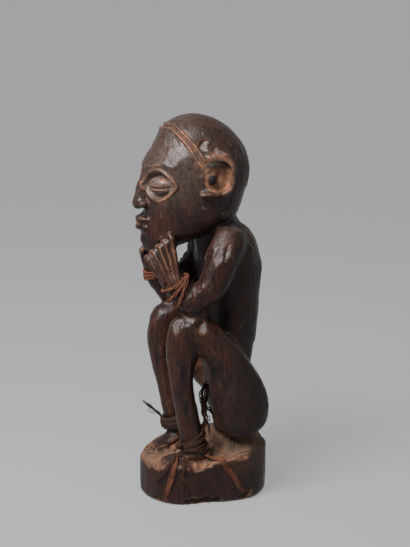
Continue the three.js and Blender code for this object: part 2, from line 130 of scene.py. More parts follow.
def makePatina(values):
    material, tree, shader, place = newMaterial("darkPatina")
    cloud = noiseOf(tree, place, 30, detail=5)
    patch = noiseOf(tree, place, 75, (1, 1, 0.5), detail=6, roughness=0.65)
    streak = noiseOf(tree, place, 130, (1, 1, 0.14), detail=6)
    fine = noiseOf(tree, place, 620, (1, 1, 0.1), detail=3)
    speck = noiseOf(tree, place, 300, detail=5, roughness=0.7)
    names = ("wearAndLitEar", "creaseDustAndLitPatch", "baseTop", "warmth", "grey", "shade", "bare", "cracks")
    marks = {name: attributeOf(tree, name) for name in names}
    colour = mixColours(tree, ramp(tree, cloud, 0.42, 0.64, 0, 0.75), values["dark"], values["black"])
    toneLayers = (  # colour, pattern, where its ramp starts and ends, least and most, the mark that holds it back
        ("warm", patch, 0.36, 0.6, 0, 1, "warmth"), ("warm", fine, 0.5, 0.68, 0, 0.5, None),
        ("black", fine, 0.5, 0.34, 0, 0.7, None), ("grey", speck, 0.3, 0.62, 0.25, 1, "grey"),
        ("baseTop", patch, 0.3, 0.62, 0.3, 0.95, "baseTop"), ("dustAndLitTone", speck, 0.38, 0.6, 0.15, 1, "creaseDustAndLitPatch"),
        ("wornAndLitTone", speck, 0.34, 0.56, 0.35, 1, "wearAndLitEar"))
    # The dust tone also paints light on one patch of the far thigh and torso front.
    for toneName, pattern, low, high, least, most, mark in toneLayers:
        share = ramp(tree, pattern, low, high, least, most)
        if mark:
            share = calculate(tree, "MULTIPLY", share, marks[mark])
        colour = mixColours(tree, share, colour, values[toneName])
    bend = calculate(tree, "MULTIPLY", noiseOf(tree, place, 60, detail=3), values["crackBend"])
    bent = addNode(tree, "ShaderNodeVectorMath", {0: place, 1: bend}, operation="ADD").outputs[0]
    inputs = {"Scale": values["crackScale"], "Vector": bent}
    cell = addNode(tree, "ShaderNodeTexVoronoi", inputs, feature="DISTANCE_TO_EDGE")
    crack = ramp(tree, cell.outputs["Distance"], 0.0, values["crackHalf"], 1, 0)
    crack = calculate(tree, "MULTIPLY", crack, marks["cracks"])
    colour = mixColours(tree, crack, colour, values["crack"])
    # Painted shade: the shade mark darkens the colour towards black.
    colour = mixColours(tree, marks["shade"], colour, values["black"])
    tree.links.new(colour, shader.inputs["Base Color"])
    dull = marks["baseTop"]
    for name in ("creaseDustAndLitPatch", "shade", "bare"):
        dull = calculate(tree, "MAXIMUM", dull, marks[name])
    rough = ramp(tree, patch, 0.35, 0.65, values["roughLow"], values["roughHigh"])
    rough = calculate(tree, "ADD", rough, calculate(tree, "MULTIPLY", dull, values["dullRough"]))
    tree.links.new(rough, shader.inputs["Roughness"])
    shader.inputs["Specular IOR Level"].default_value = values["specular"]
    cut = calculate(tree, "SUBTRACT", 1.0, crack)
    addBump(tree, shader, [(streak, 0.7, 0.0011), (fine, 0.7, 0.0005), (speck, 0.4, 0.0005), (cut, 0.8, 0.0008)])
    return material


raffia = {
    "wornRaffia": {
        "light": (0.42, 0.155, 0.064, 1), "mid": (0.125, 0.039, 0.018, 1), "dark": (0.01, 0.004, 0.0028, 1),
        "rough": 0.75,
    },
    # A darker copy of the same raffia, painted shade for the low left ankle lashing.
    "shadedRaffia": {
        "light": (0.24, 0.085, 0.033, 1), "mid": (0.026, 0.0085, 0.0045, 1), "dark": (0.006, 0.003, 0.0022, 1),
        "rough": 0.75,
    },
    # The darkest copy of the same raffia, for the curled tail and the right ankle lashing.
    "darkestRaffia": {
        "light": (0.09, 0.036, 0.019, 1), "mid": (0.026, 0.011, 0.007, 1), "dark": (0.008, 0.0045, 0.0035, 1),
        "rough": 0.8,
    },
}


def makeRaffia(name):  # fibres run along each strand, by the lengthwise and crosswise attributes
    values = raffia[name]
    material, tree, shader, place = newMaterial(name)
    inputs = {i: attributeOf(tree, mark) for i, mark in enumerate(("across", "along", "strand"))}
    joined = addNode(tree, "ShaderNodeCombineXYZ", inputs)
    fibre = noiseOf(tree, joined.outputs[0], 5, (3, 1.2, 7), detail=5)
    blotch = noiseOf(tree, place, 160, detail=3)
    colour = mixColours(tree, ramp(tree, fibre, 0.36, 0.56), values["dark"], values["mid"])
    colour = mixColours(tree, ramp(tree, fibre, 0.52, 0.72), colour, values["light"])
    colour = mixColours(tree, ramp(tree, blotch, 0.5, 0.75, 0, 0.5), colour, values["dark"])
    tree.links.new(colour, shader.inputs["Base Color"])
    shader.inputs["Roughness"].default_value = values["rough"]
    shader.inputs["Specular IOR Level"].default_value = 0.2
    addBump(tree, shader, [(fibre, 0.9, 0.0005)])
    return material


patinaWood = makePatina(patina)
wornRaffia, shadedRaffia, darkestRaffia = (makeRaffia(name) for name in raffia)
print("materials ready")


# Shared shapes

def curveAt(points, share):  # a smooth line through rows of numbers, share from 0 to 1
    last = len(points) - 1
    place = min(max(share, 0), 1) * last
    i = min(int(place), last - 1)
    t = place - i
    p1, p2 = points[i], points[i + 1]
    p0 = points[i - 1] if i > 0 else 2 * p1 - p2
    p3 = points[i + 2] if i + 2 <= last else 2 * p2 - p1
    a = 2 * p0 - 5 * p1 + 4 * p2 - p3
    b = 3 * p1 - p0 - 3 * p2 + p3
    return 0.5 * (2 * p1 + (p2 - p0) * t + a * t * t + b * t ** 3)


def unit(v):
    return v / max(np.linalg.norm(v), 1e-9)


class Limb:  # a rounded body along a smooth line: stations are x, y, z, half across, half deep
    def __init__(self, stations, ends=None, level=False, side=(1, 0, 0)):
        self.stations = np.array(stations, float)
        self.ends = ends or (min(self.stations[0, 3:]), min(self.stations[-1, 3:]))
        self.level = level
        self.side = np.array(side, float)
        self.known = {}

    def frameAt(self, share):
        key = round(share, 5)
        if key not in self.known:
            here = curveAt(self.stations, share)
            ahead = curveAt(self.stations, min(share + 0.002, 1))[:3]
            behind = curveAt(self.stations, max(share - 0.002, 0))[:3]
            along = np.array([0, 0, 1.0]) if self.level else unit(ahead - behind)
            across = unit(self.side - along * self.side.dot(along))
            self.known[key] = (here[:3], here[3], here[4], along, across, np.cross(across, along))
        return self.known[key]

    def point(self, share, angle, push=0, reach=1, beyond=0):
        centre, wide, deep, along, across, front = self.frameAt(share)
        end = self.ends[1] + push if share > 0.5 else -self.ends[0] - push
        spot = centre + across * (wide + push) * reach * math.cos(angle)
        return spot + front * (deep + push) * reach * math.sin(angle) + along * end * beyond


def turnOutwards(shape):  # its faces look outwards from where its points have been moved to
    shape.normal_update()
    bmesh.ops.recalc_face_normals(shape, faces=shape.faces)
    return shape


def marked(shape, strandNumber, marks):  # gives each point its place across and along its strand
    across = shape.verts.layers.float.new("across")
    along = shape.verts.layers.float.new("along")
    strand = shape.verts.layers.float.new("strand")
    for vert, mark in zip(shape.verts, marks):
        vert[across], vert[along] = mark
        vert[strand] = strandNumber
    return shape


def wrapBall(place, sides, rows, caps, strand=0, read=None):  # a unit ball, its points carried along a body
    shape = bmesh.new()
    bmesh.ops.create_uvsphere(shape, u_segments=sides, v_segments=rows, radius=1)
    marks = []
    for vert in shape.verts:
        rise = math.acos(max(-1, min(1, -vert.co.z))) / math.pi
        angle = math.atan2(vert.co.y, vert.co.x)
        lean = min(rise, 1 - rise, caps) / caps * math.pi / 2
        share = min(max((rise - caps) / (1 - 2 * caps), 0), 1)
        if read:
            marks.append(read(share, angle))
        vert.co = Vector(place(share, angle, math.sin(lean), math.cos(lean)))
    turnOutwards(shape)
    return marked(shape, strand, marks) if read else shape


def limbShape(limb, sides=36, rows=52, caps=0.14):
    def place(share, angle, reach, beyond):
        return limb.point(share, angle, 0, reach, beyond)
    return wrapBall(place, sides, rows, caps)


def pebble(centre, half, sides=28, rows=20):
    shape = bmesh.new()
    bmesh.ops.create_uvsphere(shape, u_segments=sides, v_segments=rows, radius=1)
    bmesh.ops.scale(shape, vec=Vector(half), verts=shape.verts)
    bmesh.ops.translate(shape, vec=Vector(centre), verts=shape.verts)
    return shape


def ringShape(place, steps, strand, read):  # a closed ring: place carries a unit section round it
    shape = bmesh.new()
    made = bmesh.ops.create_circle(shape, segments=12, radius=1)
    bmesh.ops.rotate(shape, cent=(0, 0, 0), matrix=Matrix.Rotation(math.pi / 2, 3, "X"), verts=made["verts"])
    bmesh.ops.translate(shape, vec=(4, 0, 0), verts=made["verts"])
    bmesh.ops.spin(shape, geom=shape.verts[:] + shape.edges[:], cent=(0, 0, 0), axis=(0, 0, 1),
                   angle=2 * math.pi, steps=steps, use_merge=True)
    marks = []
    for i, vert in enumerate(shape.verts):
        turn = math.atan2(vert.co.y, vert.co.x)
        u, v = math.hypot(vert.co.x, vert.co.y) - 4, vert.co.z
        vert.co = Vector(place(turn, u, v))
        marks.append(read(i, turn, u, v, vert.co.z))
    return marked(turnOutwards(shape), strand, marks)


def gather(shapes):  # several shapes as one mesh
    whole = bmesh.new()
    for shape in shapes:
        mesh = bpy.data.meshes.new("part")
        shape.to_mesh(mesh)
        shape.free()
        whole.from_mesh(mesh)
        bpy.data.meshes.remove(mesh)
    return whole


def addPiece(name, mesh, material, node):
    mesh.polygons.foreach_set("use_smooth", [True] * len(mesh.polygons))
    mesh.materials.append(material)
    piece = bpy.data.objects.new(name, mesh)
    scene.collection.objects.link(piece)
    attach(piece, "root")
    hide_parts(node)
    return piece


def finishPiece(name, shape, material, node):
    bmesh.ops.scale(shape, vec=(mm, mm, mm), verts=shape.verts)
    mesh = bpy.data.meshes.new(name)
    shape.to_mesh(mesh)
    shape.free()
    return addPiece(name, mesh, material, node)


# Raffia strands: a flat bundle of fibres along a line, wider in the middle and frayed at its free end

def lineFrame(route, looks, share):  # the place on a line, with the ways along it, to its side and out of its flat
    here = curveAt(route, share)
    along = unit(curveAt(route, min(share + 0.01, 1)) - curveAt(route, max(share - 0.01, 0)))
    side = unit(np.cross(curveAt(looks, share), along))
    return here, along, side, np.cross(along, side)


def asRows(route, facing):  # facing holds the way its flat side looks, from its start to its end
    return np.array(route, float), np.array(facing * 2 if len(facing) == 1 else facing, float)


def ribbon(route, halfWide, halfThick, number, sides=16, rows=60, twist=0.0, start=0.0, taper=(0.6, 0.15),
           ridges=3, facing=((0, 0, 1),)):
    route, looks = asRows(route, facing)
    length = float(np.linalg.norm(np.diff(route, axis=0), axis=1).sum())

    def place(share, angle, reach, beyond):
        here, along, side, up = lineFrame(route, looks, share)
        turn = start + twist * share
        wide = side * math.cos(turn) + up * math.sin(turn)
        thick = up * math.cos(turn) - side * math.sin(turn)
        size = min(1, taper[0] + (1 - taper[0]) * share * 5, taper[1] + (1 - taper[1]) * (1 - share) * 2.5)
        rough = 1 + 0.16 * math.cos(ridges * 2 * angle + number)
        rough += 0.08 * math.sin(9 * share * len(route) + 3 * angle)
        wavy = 0.92 + 0.08 * math.sin(17 * share + number)
        spot = here + wide * math.cos(angle) * halfWide * size * reach * wavy
        spot = spot + thick * math.sin(angle) * halfThick * rough * reach * (0.5 + 0.5 * size)
        return spot + along * beyond * halfThick * (1 if share > 0.5 else -1)

    def read(share, angle):
        return math.cos(angle) * halfWide * 0.8 + math.sin(angle) * 0.4, share * length / 10
    return wrapBall(place, sides, rows, 0.05, number, read)


def beside(route, facing, aside, out):  # a line that runs along a route, moved sideways and outwards by share
    route, looks = asRows(route, facing)
    line = []
    for share in np.linspace(0, 1, max(3 * len(route), 30)):
        here, _, side, up = lineFrame(route, looks, share)
        line.append(here + side * aside(share) + up * out(share))
    return line


def makeTail(name, node, values, strands, material):
    piece = finishPiece(name, gather(strands), material, node)
    path = [Vector(point) * mm for point in values["route"]]
    length = sum((b - a).length for a, b in zip(path, path[1:]))
    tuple(path[0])


def fanned(route, facing, count, spread, halfWide, halfThick, seed, wander=0.3, curl=0.0, sunk=0.0):
    rng = random.Random(seed)
    strands = []
    for i in range(count):
        aim = spread * (2 * (i + 0.5) / count - 1)
        phase, speed, lift = rng.uniform(0, 6.3), rng.uniform(2.5, 4.5), rng.uniform(-0.25, 0.35)
        width = halfWide * rng.uniform(0.7, 1.25)

        def aside(share, aim=aim, phase=phase, speed=speed):
            opened = min(share * 2.6, 1)
            turns = speed * 6.3 * share * (0.6 + 0.4 * curl)
            return aim * opened + (wander + curl * opened) * math.sin(turns + phase)

        def out(share, phase=phase, speed=speed, lift=lift):
            swing = curl * 0.7 * min(share * 2.6, 1)
            return lift - sunk * min(share * 5, 1) + swing * math.cos(speed * 6.3 * share + phase)
        line = beside(route, facing, aside, out)
        strands.append(ribbon(line, width, halfThick, seed + i, 10, 90, rng.uniform(-3, 3) * (0.3 + curl),
                              rng.uniform(0, 3) * curl, (0.7, 0.12), 2, facing))
    return strands


def allFans(values):  # fans are count, spread, half width, half thickness, seed, wander, curl and how far sunk
    return [strand for fan in values["fans"] for strand in fanned(values["route"], values["facing"], *fan)]


frontTail = {
    "wide": 3.2, "facing": ((0.75, -0.65, 0.1),),
    "fans": [(3, 1.6, 1.25, 0.4, 3, 0.3, 0, 1.0), (4, 2.9, 0.35, 0.3, 13, 0.4, 0, 0.9)],
    "route": [
        (32, -34, 48.4), (32.2, -34.6, 46), (32.8, -35.4, 43), (33.7, -36.5, 39.5), (34.4, -38.3, 36),
        (34.1, -38.8, 32.5), (33.3, -39.3, 29), (32.4, -39.9, 26), (31.6, -40.6, 22.5), (30.7, -41.4, 19),
        (29.6, -42.2, 15.5), (28.6, -42.8, 12.5), (27.8, -43.3, 9.5), (27.2, -43.7, 6.5), (26.7, -44.1, 4)],
}
makeTail("frontTail", "left_ankle_tail_front", frontTail, allFans(frontTail), wornRaffia)

leafTail = {
    "wide": 4.6, "halfWide": 2.9, "halfThick": 0.4,
    "facing": ((0, 0, 1), (0.1, 0, 1), (0.9, 0, 0.6), (0.98, 0, 0.15), (0.98, 0, 0.1), (0.97, 0.2, 0.1)),
    "splits": ((1.5, 2.8, 0.9), (-1.5, -2.6, 1.2), (0.1, 0.4, 0.8)),  # aside at the start and end, half width
    "route": [
        (36.9, -9.4, 47.2), (37.5, -7.4, 46.4), (37.9, -5.4, 45.6), (38.5, -3.4, 44.7), (39.5, -1.4, 44.2),
        (40.8, 0.6, 44.2), (42.8, 2.6, 44.6), (45.4, 4.3, 43.2), (46.4, 6, 39.4), (45.9, 7.8, 35.6),
        (45.5, 9.8, 32.6), (45.2, 12, 29.8), (45, 14.4, 26.6), (44.6, 16.6, 23), (44.2, 18.8, 19.2),
        (43.7, 21, 15.4), (43.1, 23.8, 12.2), (42.4, 27, 9.4)],
}


def leafLine(aside, lift):  # the leaf lies flat on the base, so it runs under the middle line of its round cord
    def out(share):
        return lift(share) - 1.3 - 1.4 * min(max(share - 0.27, 0) * 4, 1) - 0.3 * share
    return beside(leafTail["route"], leafTail["facing"], aside, out)


def leafStrands(values):
    middle = leafLine(lambda share: 0, lambda share: 0)
    strands = [ribbon(middle, values["halfWide"], values["halfThick"], 1, 20, 120, taper=(0.4, 0.3), ridges=4,
                      facing=values["facing"])]
    for i, (near, far, half) in enumerate(values["splits"]):
        def aside(share, near=near, far=far):
            return near + (far - near) * max(0, share - 0.7) / 0.3

        def lift(share, i=i):
            return 0.25 + 0.2 * math.sin(11 * share + 2 * i)
        strands.append(ribbon(leafLine(aside, lift), half, 0.3, 5 + i, 14, 110, 0.15, taper=(0.5, 0.2),
                              facing=values["facing"]))
    return strands


makeTail("leafTail", "left_ankle_tail_back", leafTail, leafStrands(leafTail), wornRaffia)

curlTail = {
    "wide": 2.4, "facing": ((1, 0, 0),), "fans": [(4, 0.7, 0.55, 0.35, 11, 0.3), (6, 1.3, 0.42, 0.3, 17, 0.3, 1.6)],
    "route": [
        (26, -2.6, 61.8), (24.8, -2.4, 65.2), (23.2, -2.8, 69.2), (21.6, -4.6, 73.4), (20.4, -5.8, 78),
        (19.2, -6.8, 83), (18, -7, 88), (16.6, -6.4, 93), (15, -5.2, 97.6), (13.4, -3.4, 101), (12, -1.6, 102.6),
        (11, 0, 101), (10.6, 0.4, 97), (10.8, -0.2, 92), (11.4, -1.2, 87), (11.6, -1.6, 82), (11, -1, 77),
        (10.2, 0.2, 73), (9.6, 1.4, 69.6), (9.4, 2.6, 66.4)],
}


def curlStrands(values):
    route, facing = values["route"], values["facing"]
    return allFans(values) + [
        ribbon(route[8:15], 2.0, 0.35, 9, 14, 60, 2.2, 0.4, (0.3, 0.2), 3, facing),
        ribbon(route[13:19], 1.8, 0.4, 12, 14, 60, -2.6, 0.9, (0.2, 0.2), 3, facing)]


makeTail("curlTail", "left_ankle_tail_curl", curlTail, curlStrands(curlTail), darkestRaffia)
print("tails ready")


# Figure: places that the limbs start from, on its left side

body = {
    "ankle": (27, -17, 62), "knee": (31, -27, 158), "hip": (31, 25, 72), "shoulder": (30, 14, 232),
    "elbow": (33, -19.5, 182.5), "wrist": (30, -36.5, 201), "fingertips": (21.5, -46, 233),
    "rightArmBack": 6, "rightKneeDrop": 3, "rightThighBack": 6, "rightShinBack": 1.5, "rightSeatTuck": 5,
}
face = {
    "brow": 301, "eye": 280.5, "nose": 261, "mouth": 247.67, "eyeTurn": 0.52,
    "earX": 39, "earY": -0.5, "earZ": 288.5, "earWide": 14.2, "earHigh": 16.2,
}
base = {
    "radius": 57, "height": 41, "slope": 0.13, "flatBelow": 21.5, "flatAbove": 14,
    "flatAngle": math.radians(-5), "flatSpread": math.radians(54), "ripple": 0.7, "bulge": 3.2,
    "bulgeAngle": math.radians(55), "bulgeSpread": math.radians(24), "moundY": 29, "moundX": 41, "moundDeep": 22,
    "moundRise": 17,
}

torso = Limb([
    (0, 28, 60, 30, 16), (0, 27, 84, 33, 21), (0, 22, 115, 29, 20.5), (0, 25, 150, 28, 23),
    (0, 25.5, 182, 32, 24.5), (0, 22, 208, 36, 27), (0, 19.5, 225, 36, 26.5), (0, 14, 238, 25, 20)])
neck = Limb([(0, 11, 222, 19, 17), (0, 9, 244, 19, 20), (0, 7, 262, 22, 22)])
head = Limb([
    (0, -39, 227, 15, 15), (0, -25, 238, 27, 30), (0, -13, 251, 34, 40.5), (0, -8.5, 268, 37, 43),
    (0, -6.5, 286, 38.5, 46.5), (0, -6, 301, 37.5, 45), (0, -5, 314, 33.5, 38.5), (0, -7.2, 326, 27.5, 30.4),
    (0, -8.3, 333.2, 19.4, 21.2), (0, -8.8, 336.8, 12, 13.2), (0, -9, 338.6, 5, 5.5)], ends=(6, 0.5), level=True)


def onRight(way, name):  # the right side differs a little from the left
    return body[name] if way < 0 else 0


def armLimbs(way):
    back, drop = onRight(way, "rightArmBack"), onRight(way, "rightKneeDrop")
    (sx, sy, sz), (ex, ey, ez), (wx, wy, wz) = body["shoulder"], body["elbow"], body["wrist"]
    upper = Limb([
        (way * sx, sy + back / 2, sz, 14, 15.5 - back / 2), (way * 36.5, 5.9 + back, 220, 14, 14.4 - back / 4),
        (way * 39, back, 205, 13, 13.2 - back / 4), (way * 38, -8.2, 193 - drop, 12, 12.2),
        (way * ex, ey, ez - drop, 11.5, 11.5)])
    fore = Limb([
        (way * (ex + 1), ey, ez - drop, 11.5, 12.5), (way * (wx + 1), wy + 5, wz - 6, 9.5, 11.5),
        (way * wx, wy + back * 0.4, wz, 8, 10), (way * 26.5, -41.5 + back * 0.9, 213, 5.5, 10.5),
        (way * 23, -43.5 + back * 1.2, 225, 4, 10.5)])
    return upper, fore


def fingerLine(way, share):  # root and tip of a line along the hand's back, share from -0.5 at the little finger
    back = onRight(way, "rightArmBack")
    (wx, wy, wz), (fx, fy, fz) = body["wrist"], body["fingertips"]
    root = np.array((wx + 1 - 0.5 * share, wy - 3 + 12 * share + 0.5 * back, wz + 3 + 6 * share))
    return root, np.array((fx + 7 * share, fy + 18 * share + 1.2 * back, fz + 19 * share))


def fingerShapes(way):
    shapes = []
    for i in range(5):
        root, tip = fingerLine(way, i / 4 - 0.5)
        points = []
        for t, out, across, deep in ((0, 2.6, 2.3, 2.1), (0.25, 3.2, 2.7, 2.6), (0.5, 3.6, 2.9, 3.0),
                                     (0.72, 3.5, 2.8, 3.2), (0.84, 3.2, 3.0, 3.5), (0.97, 2.3, 2.6, 3.1)):
            x, y, z = root + (tip - root) * t - np.array((0, 1.6 * t, 0))
            points.append((way * (x + out), y, z - (2.2 if t > 0.9 else 0), across, deep))
        shapes.append(limbShape(Limb(points), 20, 40, 0.12))
    return shapes


def legLimbs(way):
    back, drop, tuck, behind = (
        onRight(way, name) for name in ("rightThighBack", "rightKneeDrop", "rightSeatTuck", "rightShinBack"))
    (ax, ay, az), (kx, ky, kz), (hx, hy, hz) = body["ankle"], body["knee"], body["hip"]
    thigh = Limb([
        (way * hx, hy + back * 0.7 + tuck, hz, 17, 23 - back * 0.7 - tuck),
        (way * 32, 24 + back + tuck * 0.4, 88, 17.5, 25 - back * 0.5 - tuck * 0.4),
        (way * 33, 17.5 + back * 0.5, 108, 16.5, 22.5), (way * 33, 8.5, 130, 15, 17.5 + back * 0.3),
        (way * 32.5, -4, 147 - drop, 13.5, 15), (way * (kx + 0.5), ky + 7, kz + 3.5 - drop, 13, 14)],
        ends=(12.5, 12))
    shin = Limb([
        (way * ax, ay + 1, az - 16, 9, 10), (way * ax, ay - 1.8 + behind, az - 2, 9.2, 10.4),
        (way * 27.6, -21.9 + behind, 72, 9, 9.9), (way * 28.4, -24.2 + behind, 85, 9, 9.9),
        (way * 29, -26.6 + behind, 96, 9, 9.6), (way * 30, -29.2, 117, 10, 10.5),
        (way * 30.5, -28.6, 138, 11.5, 14.2), (way * kx, ky + drop / 2, kz - drop, 12.5, 13.5)], ends=(3, 14))
    return thigh, shin


def baseTop(x, y):
    off = np.minimum(np.hypot(x / base["moundX"], (y - base["moundY"]) / base["moundDeep"]), 1)
    level = base["height"] + base["slope"] * y + base["ripple"] * np.sin(x * 0.21 + 0.6) * np.sin(y * 0.17 + 1.1)
    return level + base["moundRise"] * (1 - off ** 4)


def bell(angle, middle, spread):
    off = (angle - middle + math.pi) % (2 * math.pi) - math.pi
    return np.exp(-((off / spread) ** 2))


def baseReach(angle, rise):
    depth = base["flatBelow"] + (base["flatAbove"] - base["flatBelow"]) * rise
    flat = depth * bell(angle, base["flatAngle"], base["flatSpread"])
    bulge = base["bulge"] * bell(angle, base["bulgeAngle"], base["bulgeSpread"])
    return base["radius"] - flat + bulge + 0.5 * np.sin(3 * angle) + 0.4 * np.sin(7 * angle + 1)


def baseShape():
    profile = [(0, 0), (0.5, 0), (0.92, 0), (0.97, 0.04), (1, 0.12), (1.005, 0.5), (0.997, 0.94), (0.985, 0.975),
               (0.965, 1)] + [(0.9 - 0.075 * i, 1) for i in range(12)] + [(0, 1)]
    shape = bmesh.new()
    verts = [shape.verts.new((reach, 0, rise)) for reach, rise in profile]
    edges = [shape.edges.new(pair) for pair in zip(verts, verts[1:])]
    bmesh.ops.spin(shape, geom=verts + edges, cent=(0, 0, 0), axis=(0, 0, 1), angle=2 * math.pi, steps=120,
                   use_merge=True)
    bmesh.ops.remove_doubles(shape, verts=shape.verts, dist=1e-4)
    for vert in shape.verts:
        angle = math.atan2(vert.co.y, vert.co.x)
        reach = math.hypot(vert.co.x, vert.co.y) * baseReach(angle, vert.co.z)
        x, y = reach * math.cos(angle), reach * math.sin(angle)
        vert.co = (x, y, vert.co.z * baseTop(x, y))
    return turnOutwards(shape)


def footShapes(way):
    shapes = [limbShape(Limb([
        (way * 28, -7, 45, 7, 5), (way * 26.5, -16, 45.5, 9, 7), (way * 23.5, -28, 41, 9.5, 4.5),
        (way * 21.5, -35, 38.5, 9.5, 3.5)]))]
    for i in range(5):
        across = (i - 2) * 4.2
        x = way * (20.5 + across)
        front = -42.5 + abs(across) * 0.22 + i * 0.4
        shapes.append(limbShape(Limb([
            (x + way * 1.2, front + 10, baseTop(x, front + 10) + 3, 1.9, 2.4),
            (x + way * 0.4, front + 4, baseTop(x, front + 4) + 2.7, 1.8, 2.2),
            (x, front, baseTop(x, front) + 1.6, 2.0, 2.5)]), 18, 24))
    return shapes


def smoothly(low, high, value):
    t = min(max((value - low) / (high - low), 0), 1)
    return t * t * (3 - 2 * t)


def earFar(b, h):  # 1 on the ear's outer edge, a rounded square
    return (np.abs(b) ** 2.6 + np.abs(h) ** 2.6) ** (1 / 2.6)


def earRise(b, h, skull):  # how far the ear stands out of the skull: b runs to the back, h upwards
    far = earFar(b, h)
    reach = max(math.hypot(b, h), 1e-6)
    back, high = b / reach, h / reach
    front = smoothly(-0.5, -0.92, back)
    rim = face["earX"] + 3.9 + 3.6 * back - 2.6 * max(-back - 0.45, 0) - skull
    rim += (0.4 - rim) * front
    if far > 1:
        return rim * smoothly(1.27 + 0.2 * high + 0.05 * high * high, 0.97, far)
    floor = -(2.4 + 3 * smoothly(0, 0.6, h)) * smoothly(-1.1, -0.5, b)
    floor -= 5 * smoothly(0.32, 0.14, math.hypot(b + 0.36, h + 0.12))
    floor += 3.2 * math.exp(-((b - 0.06) / 0.09) ** 2) * smoothly(0.42, 0.2, abs(h + 0.1))
    top = rim * (1 - 0.1 * ((far - 0.88) / 0.12) ** 2)
    return top + (floor - top) * smoothly(0.79, 0.68, far)


def skullShape():
    shape = limbShape(head, 300, 250, 0.16)
    for vert in shape.verts:
        b = (vert.co.y - face["earY"]) / face["earWide"]
        h = (vert.co.z - face["earZ"]) / face["earHigh"]
        if abs(vert.co.x) > 20 and math.hypot(b, h) < 1.6:
            vert.co.x += math.copysign(earRise(b, h, abs(vert.co.x)), vert.co.x)
    return shape


def faceShapes():
    nose = Limb([
        (0, -47, face["brow"] - 2, 3.6, 4), (0, -51.5, face["brow"] - 14, 4, 4.8),
        (0, -55.6, face["nose"] + 10, 5.2, 5), (0, -57.4, face["nose"] + 3, 6.8, 5)])
    shapes = [limbShape(nose)]
    for way in (-1, 1):
        shapes.append(pebble((way * 6.4, -54.6, face["nose"] + 3), (4.2, 5, 3.8)))
    for rise, half, bow in ((2.8, 3.4, 0.8), (-3.4, 3.7, 0)):
        z = face["mouth"] + rise
        lip = Limb([
            (-12, -47, z - 0.6, 1.6, 3), (-6, -53.5, z + bow, half, 5), (0, -55, z, half, 5.5),
            (6, -53.5, z + bow, half, 5), (12, -47, z - 0.6, 1.6, 3)], side=(0, 0, 1))
        shapes.append(limbShape(lip))
    return shapes


leftArm, rightArm, leftLeg, rightLeg = armLimbs(1), armLimbs(-1), legLimbs(1), legLimbs(-1)

# The carving is joined and remeshed in a space that is stretched where it needs finer detail.
stretchHeights = np.linspace(-5, 345, 701)
stretchSizes = np.interp(stretchHeights, [-5, 60, 78, 176, 200, 345], [1.08, 1.08, 0.86, 0.86, 1.4, 1.45])
stretchSizes = np.convolve(np.pad(stretchSizes, 24, mode="edge"), np.full(49, 1 / 49), "valid")
stretchedHeights = np.concatenate([[0], np.cumsum((stretchSizes[1:] + stretchSizes[:-1]) / 2 * 0.5)])


def readPoints(mesh):
    points = np.empty(len(mesh.vertices) * 3, np.float32)
    mesh.vertices.foreach_get("co", points)
    return points.reshape(-1, 3).astype(float)


def writePoints(mesh, points):
    mesh.vertices.foreach_set("co", points.astype(np.float32).ravel())
    mesh.update()


def applied(mesh, kind, **settings):  # the mesh with one modifier worked into it
    rough = bpy.data.objects.new("rough", mesh)
    scene.collection.objects.link(rough)
    modifier = rough.modifiers.new("rough", kind)
    for name, value in settings.items():
        setattr(modifier, name, value)
    graph = bpy.context.evaluated_depsgraph_get()
    made = bpy.data.meshes.new_from_object(
        rough.evaluated_get(graph), preserve_all_data_layers=True, depsgraph=graph)
    bpy.data.objects.remove(rough)
    return made


def joinCarving(shapes, voxel):
    mesh = bpy.data.meshes.new("rough")
    whole = gather(shapes)
    whole.to_mesh(mesh)
    whole.free()
    points = readPoints(mesh)
    size = np.interp(points[:, 2], stretchHeights, stretchSizes)
    points[:, 2] = np.interp(points[:, 2], stretchHeights, stretchedHeights)
    points[:, :2] *= size[:, None]
    writePoints(mesh, points)
    joined = applied(mesh, "REMESH", mode="VOXEL", voxel_size=voxel)
    points = readPoints(joined)
    points[:, 2] = np.interp(points[:, 2], stretchedHeights, stretchHeights)
    points[:, :2] /= np.interp(points[:, 2], stretchHeights, stretchSizes)[:, None]
    writePoints(joined, points)
    return joined


class Surface:  # the joined carving's points, with what the carving strokes need to know of them
    def __init__(self, mesh):
        self.mesh = mesh
        self.points = readPoints(mesh)
        edges = np.empty(len(mesh.edges) * 2, np.int32)
        mesh.edges.foreach_get("vertices", edges)
        self.ends = np.concatenate([edges.reshape(-1, 2), edges.reshape(-1, 2)[:, ::-1]]).T
        self.count = np.maximum(np.bincount(self.ends[0], minlength=len(self.points)), 1)

    def spread(self, values):  # the mean of each point's neighbours
        if values.ndim == 1:
            return np.bincount(self.ends[0], values[self.ends[1]], len(self.points)) / self.count
        return np.stack([self.spread(values[:, i]) for i in range(values.shape[1])], 1)

    def blur(self, values, times):
        for _ in range(times):
            values = (values + self.spread(values)) / 2
        return values

    def smooth(self, times):
        for _ in range(times):
            self.points += 0.5 * (self.spread(self.points) - self.points)
            self.points -= 0.52 * (self.spread(self.points) - self.points)

    def soften(self, weight, times):  # wears an area down until its forms run together
        for _ in range(times):
            self.points += 0.5 * weight[:, None] * (self.spread(self.points) - self.points)

    def normals(self):
        writePoints(self.mesh, self.points)
        normals = np.empty(len(self.points) * 3, np.float32)
        self.mesh.vertex_normals.foreach_get("vector", normals)
        return normals.reshape(-1, 3).astype(float)

    def hollows(self, times):  # how far the surface lies under (+) or over (-) its own surroundings
        around = self.points
        for _ in range(times):
            around = (around + self.spread(around)) / 2
        return ((around - self.points) * self.normals()).sum(1)


def step(low, high, values):
    t = np.clip((values - low) / (high - low), 0, 1)
    return t * t * (3 - 2 * t)


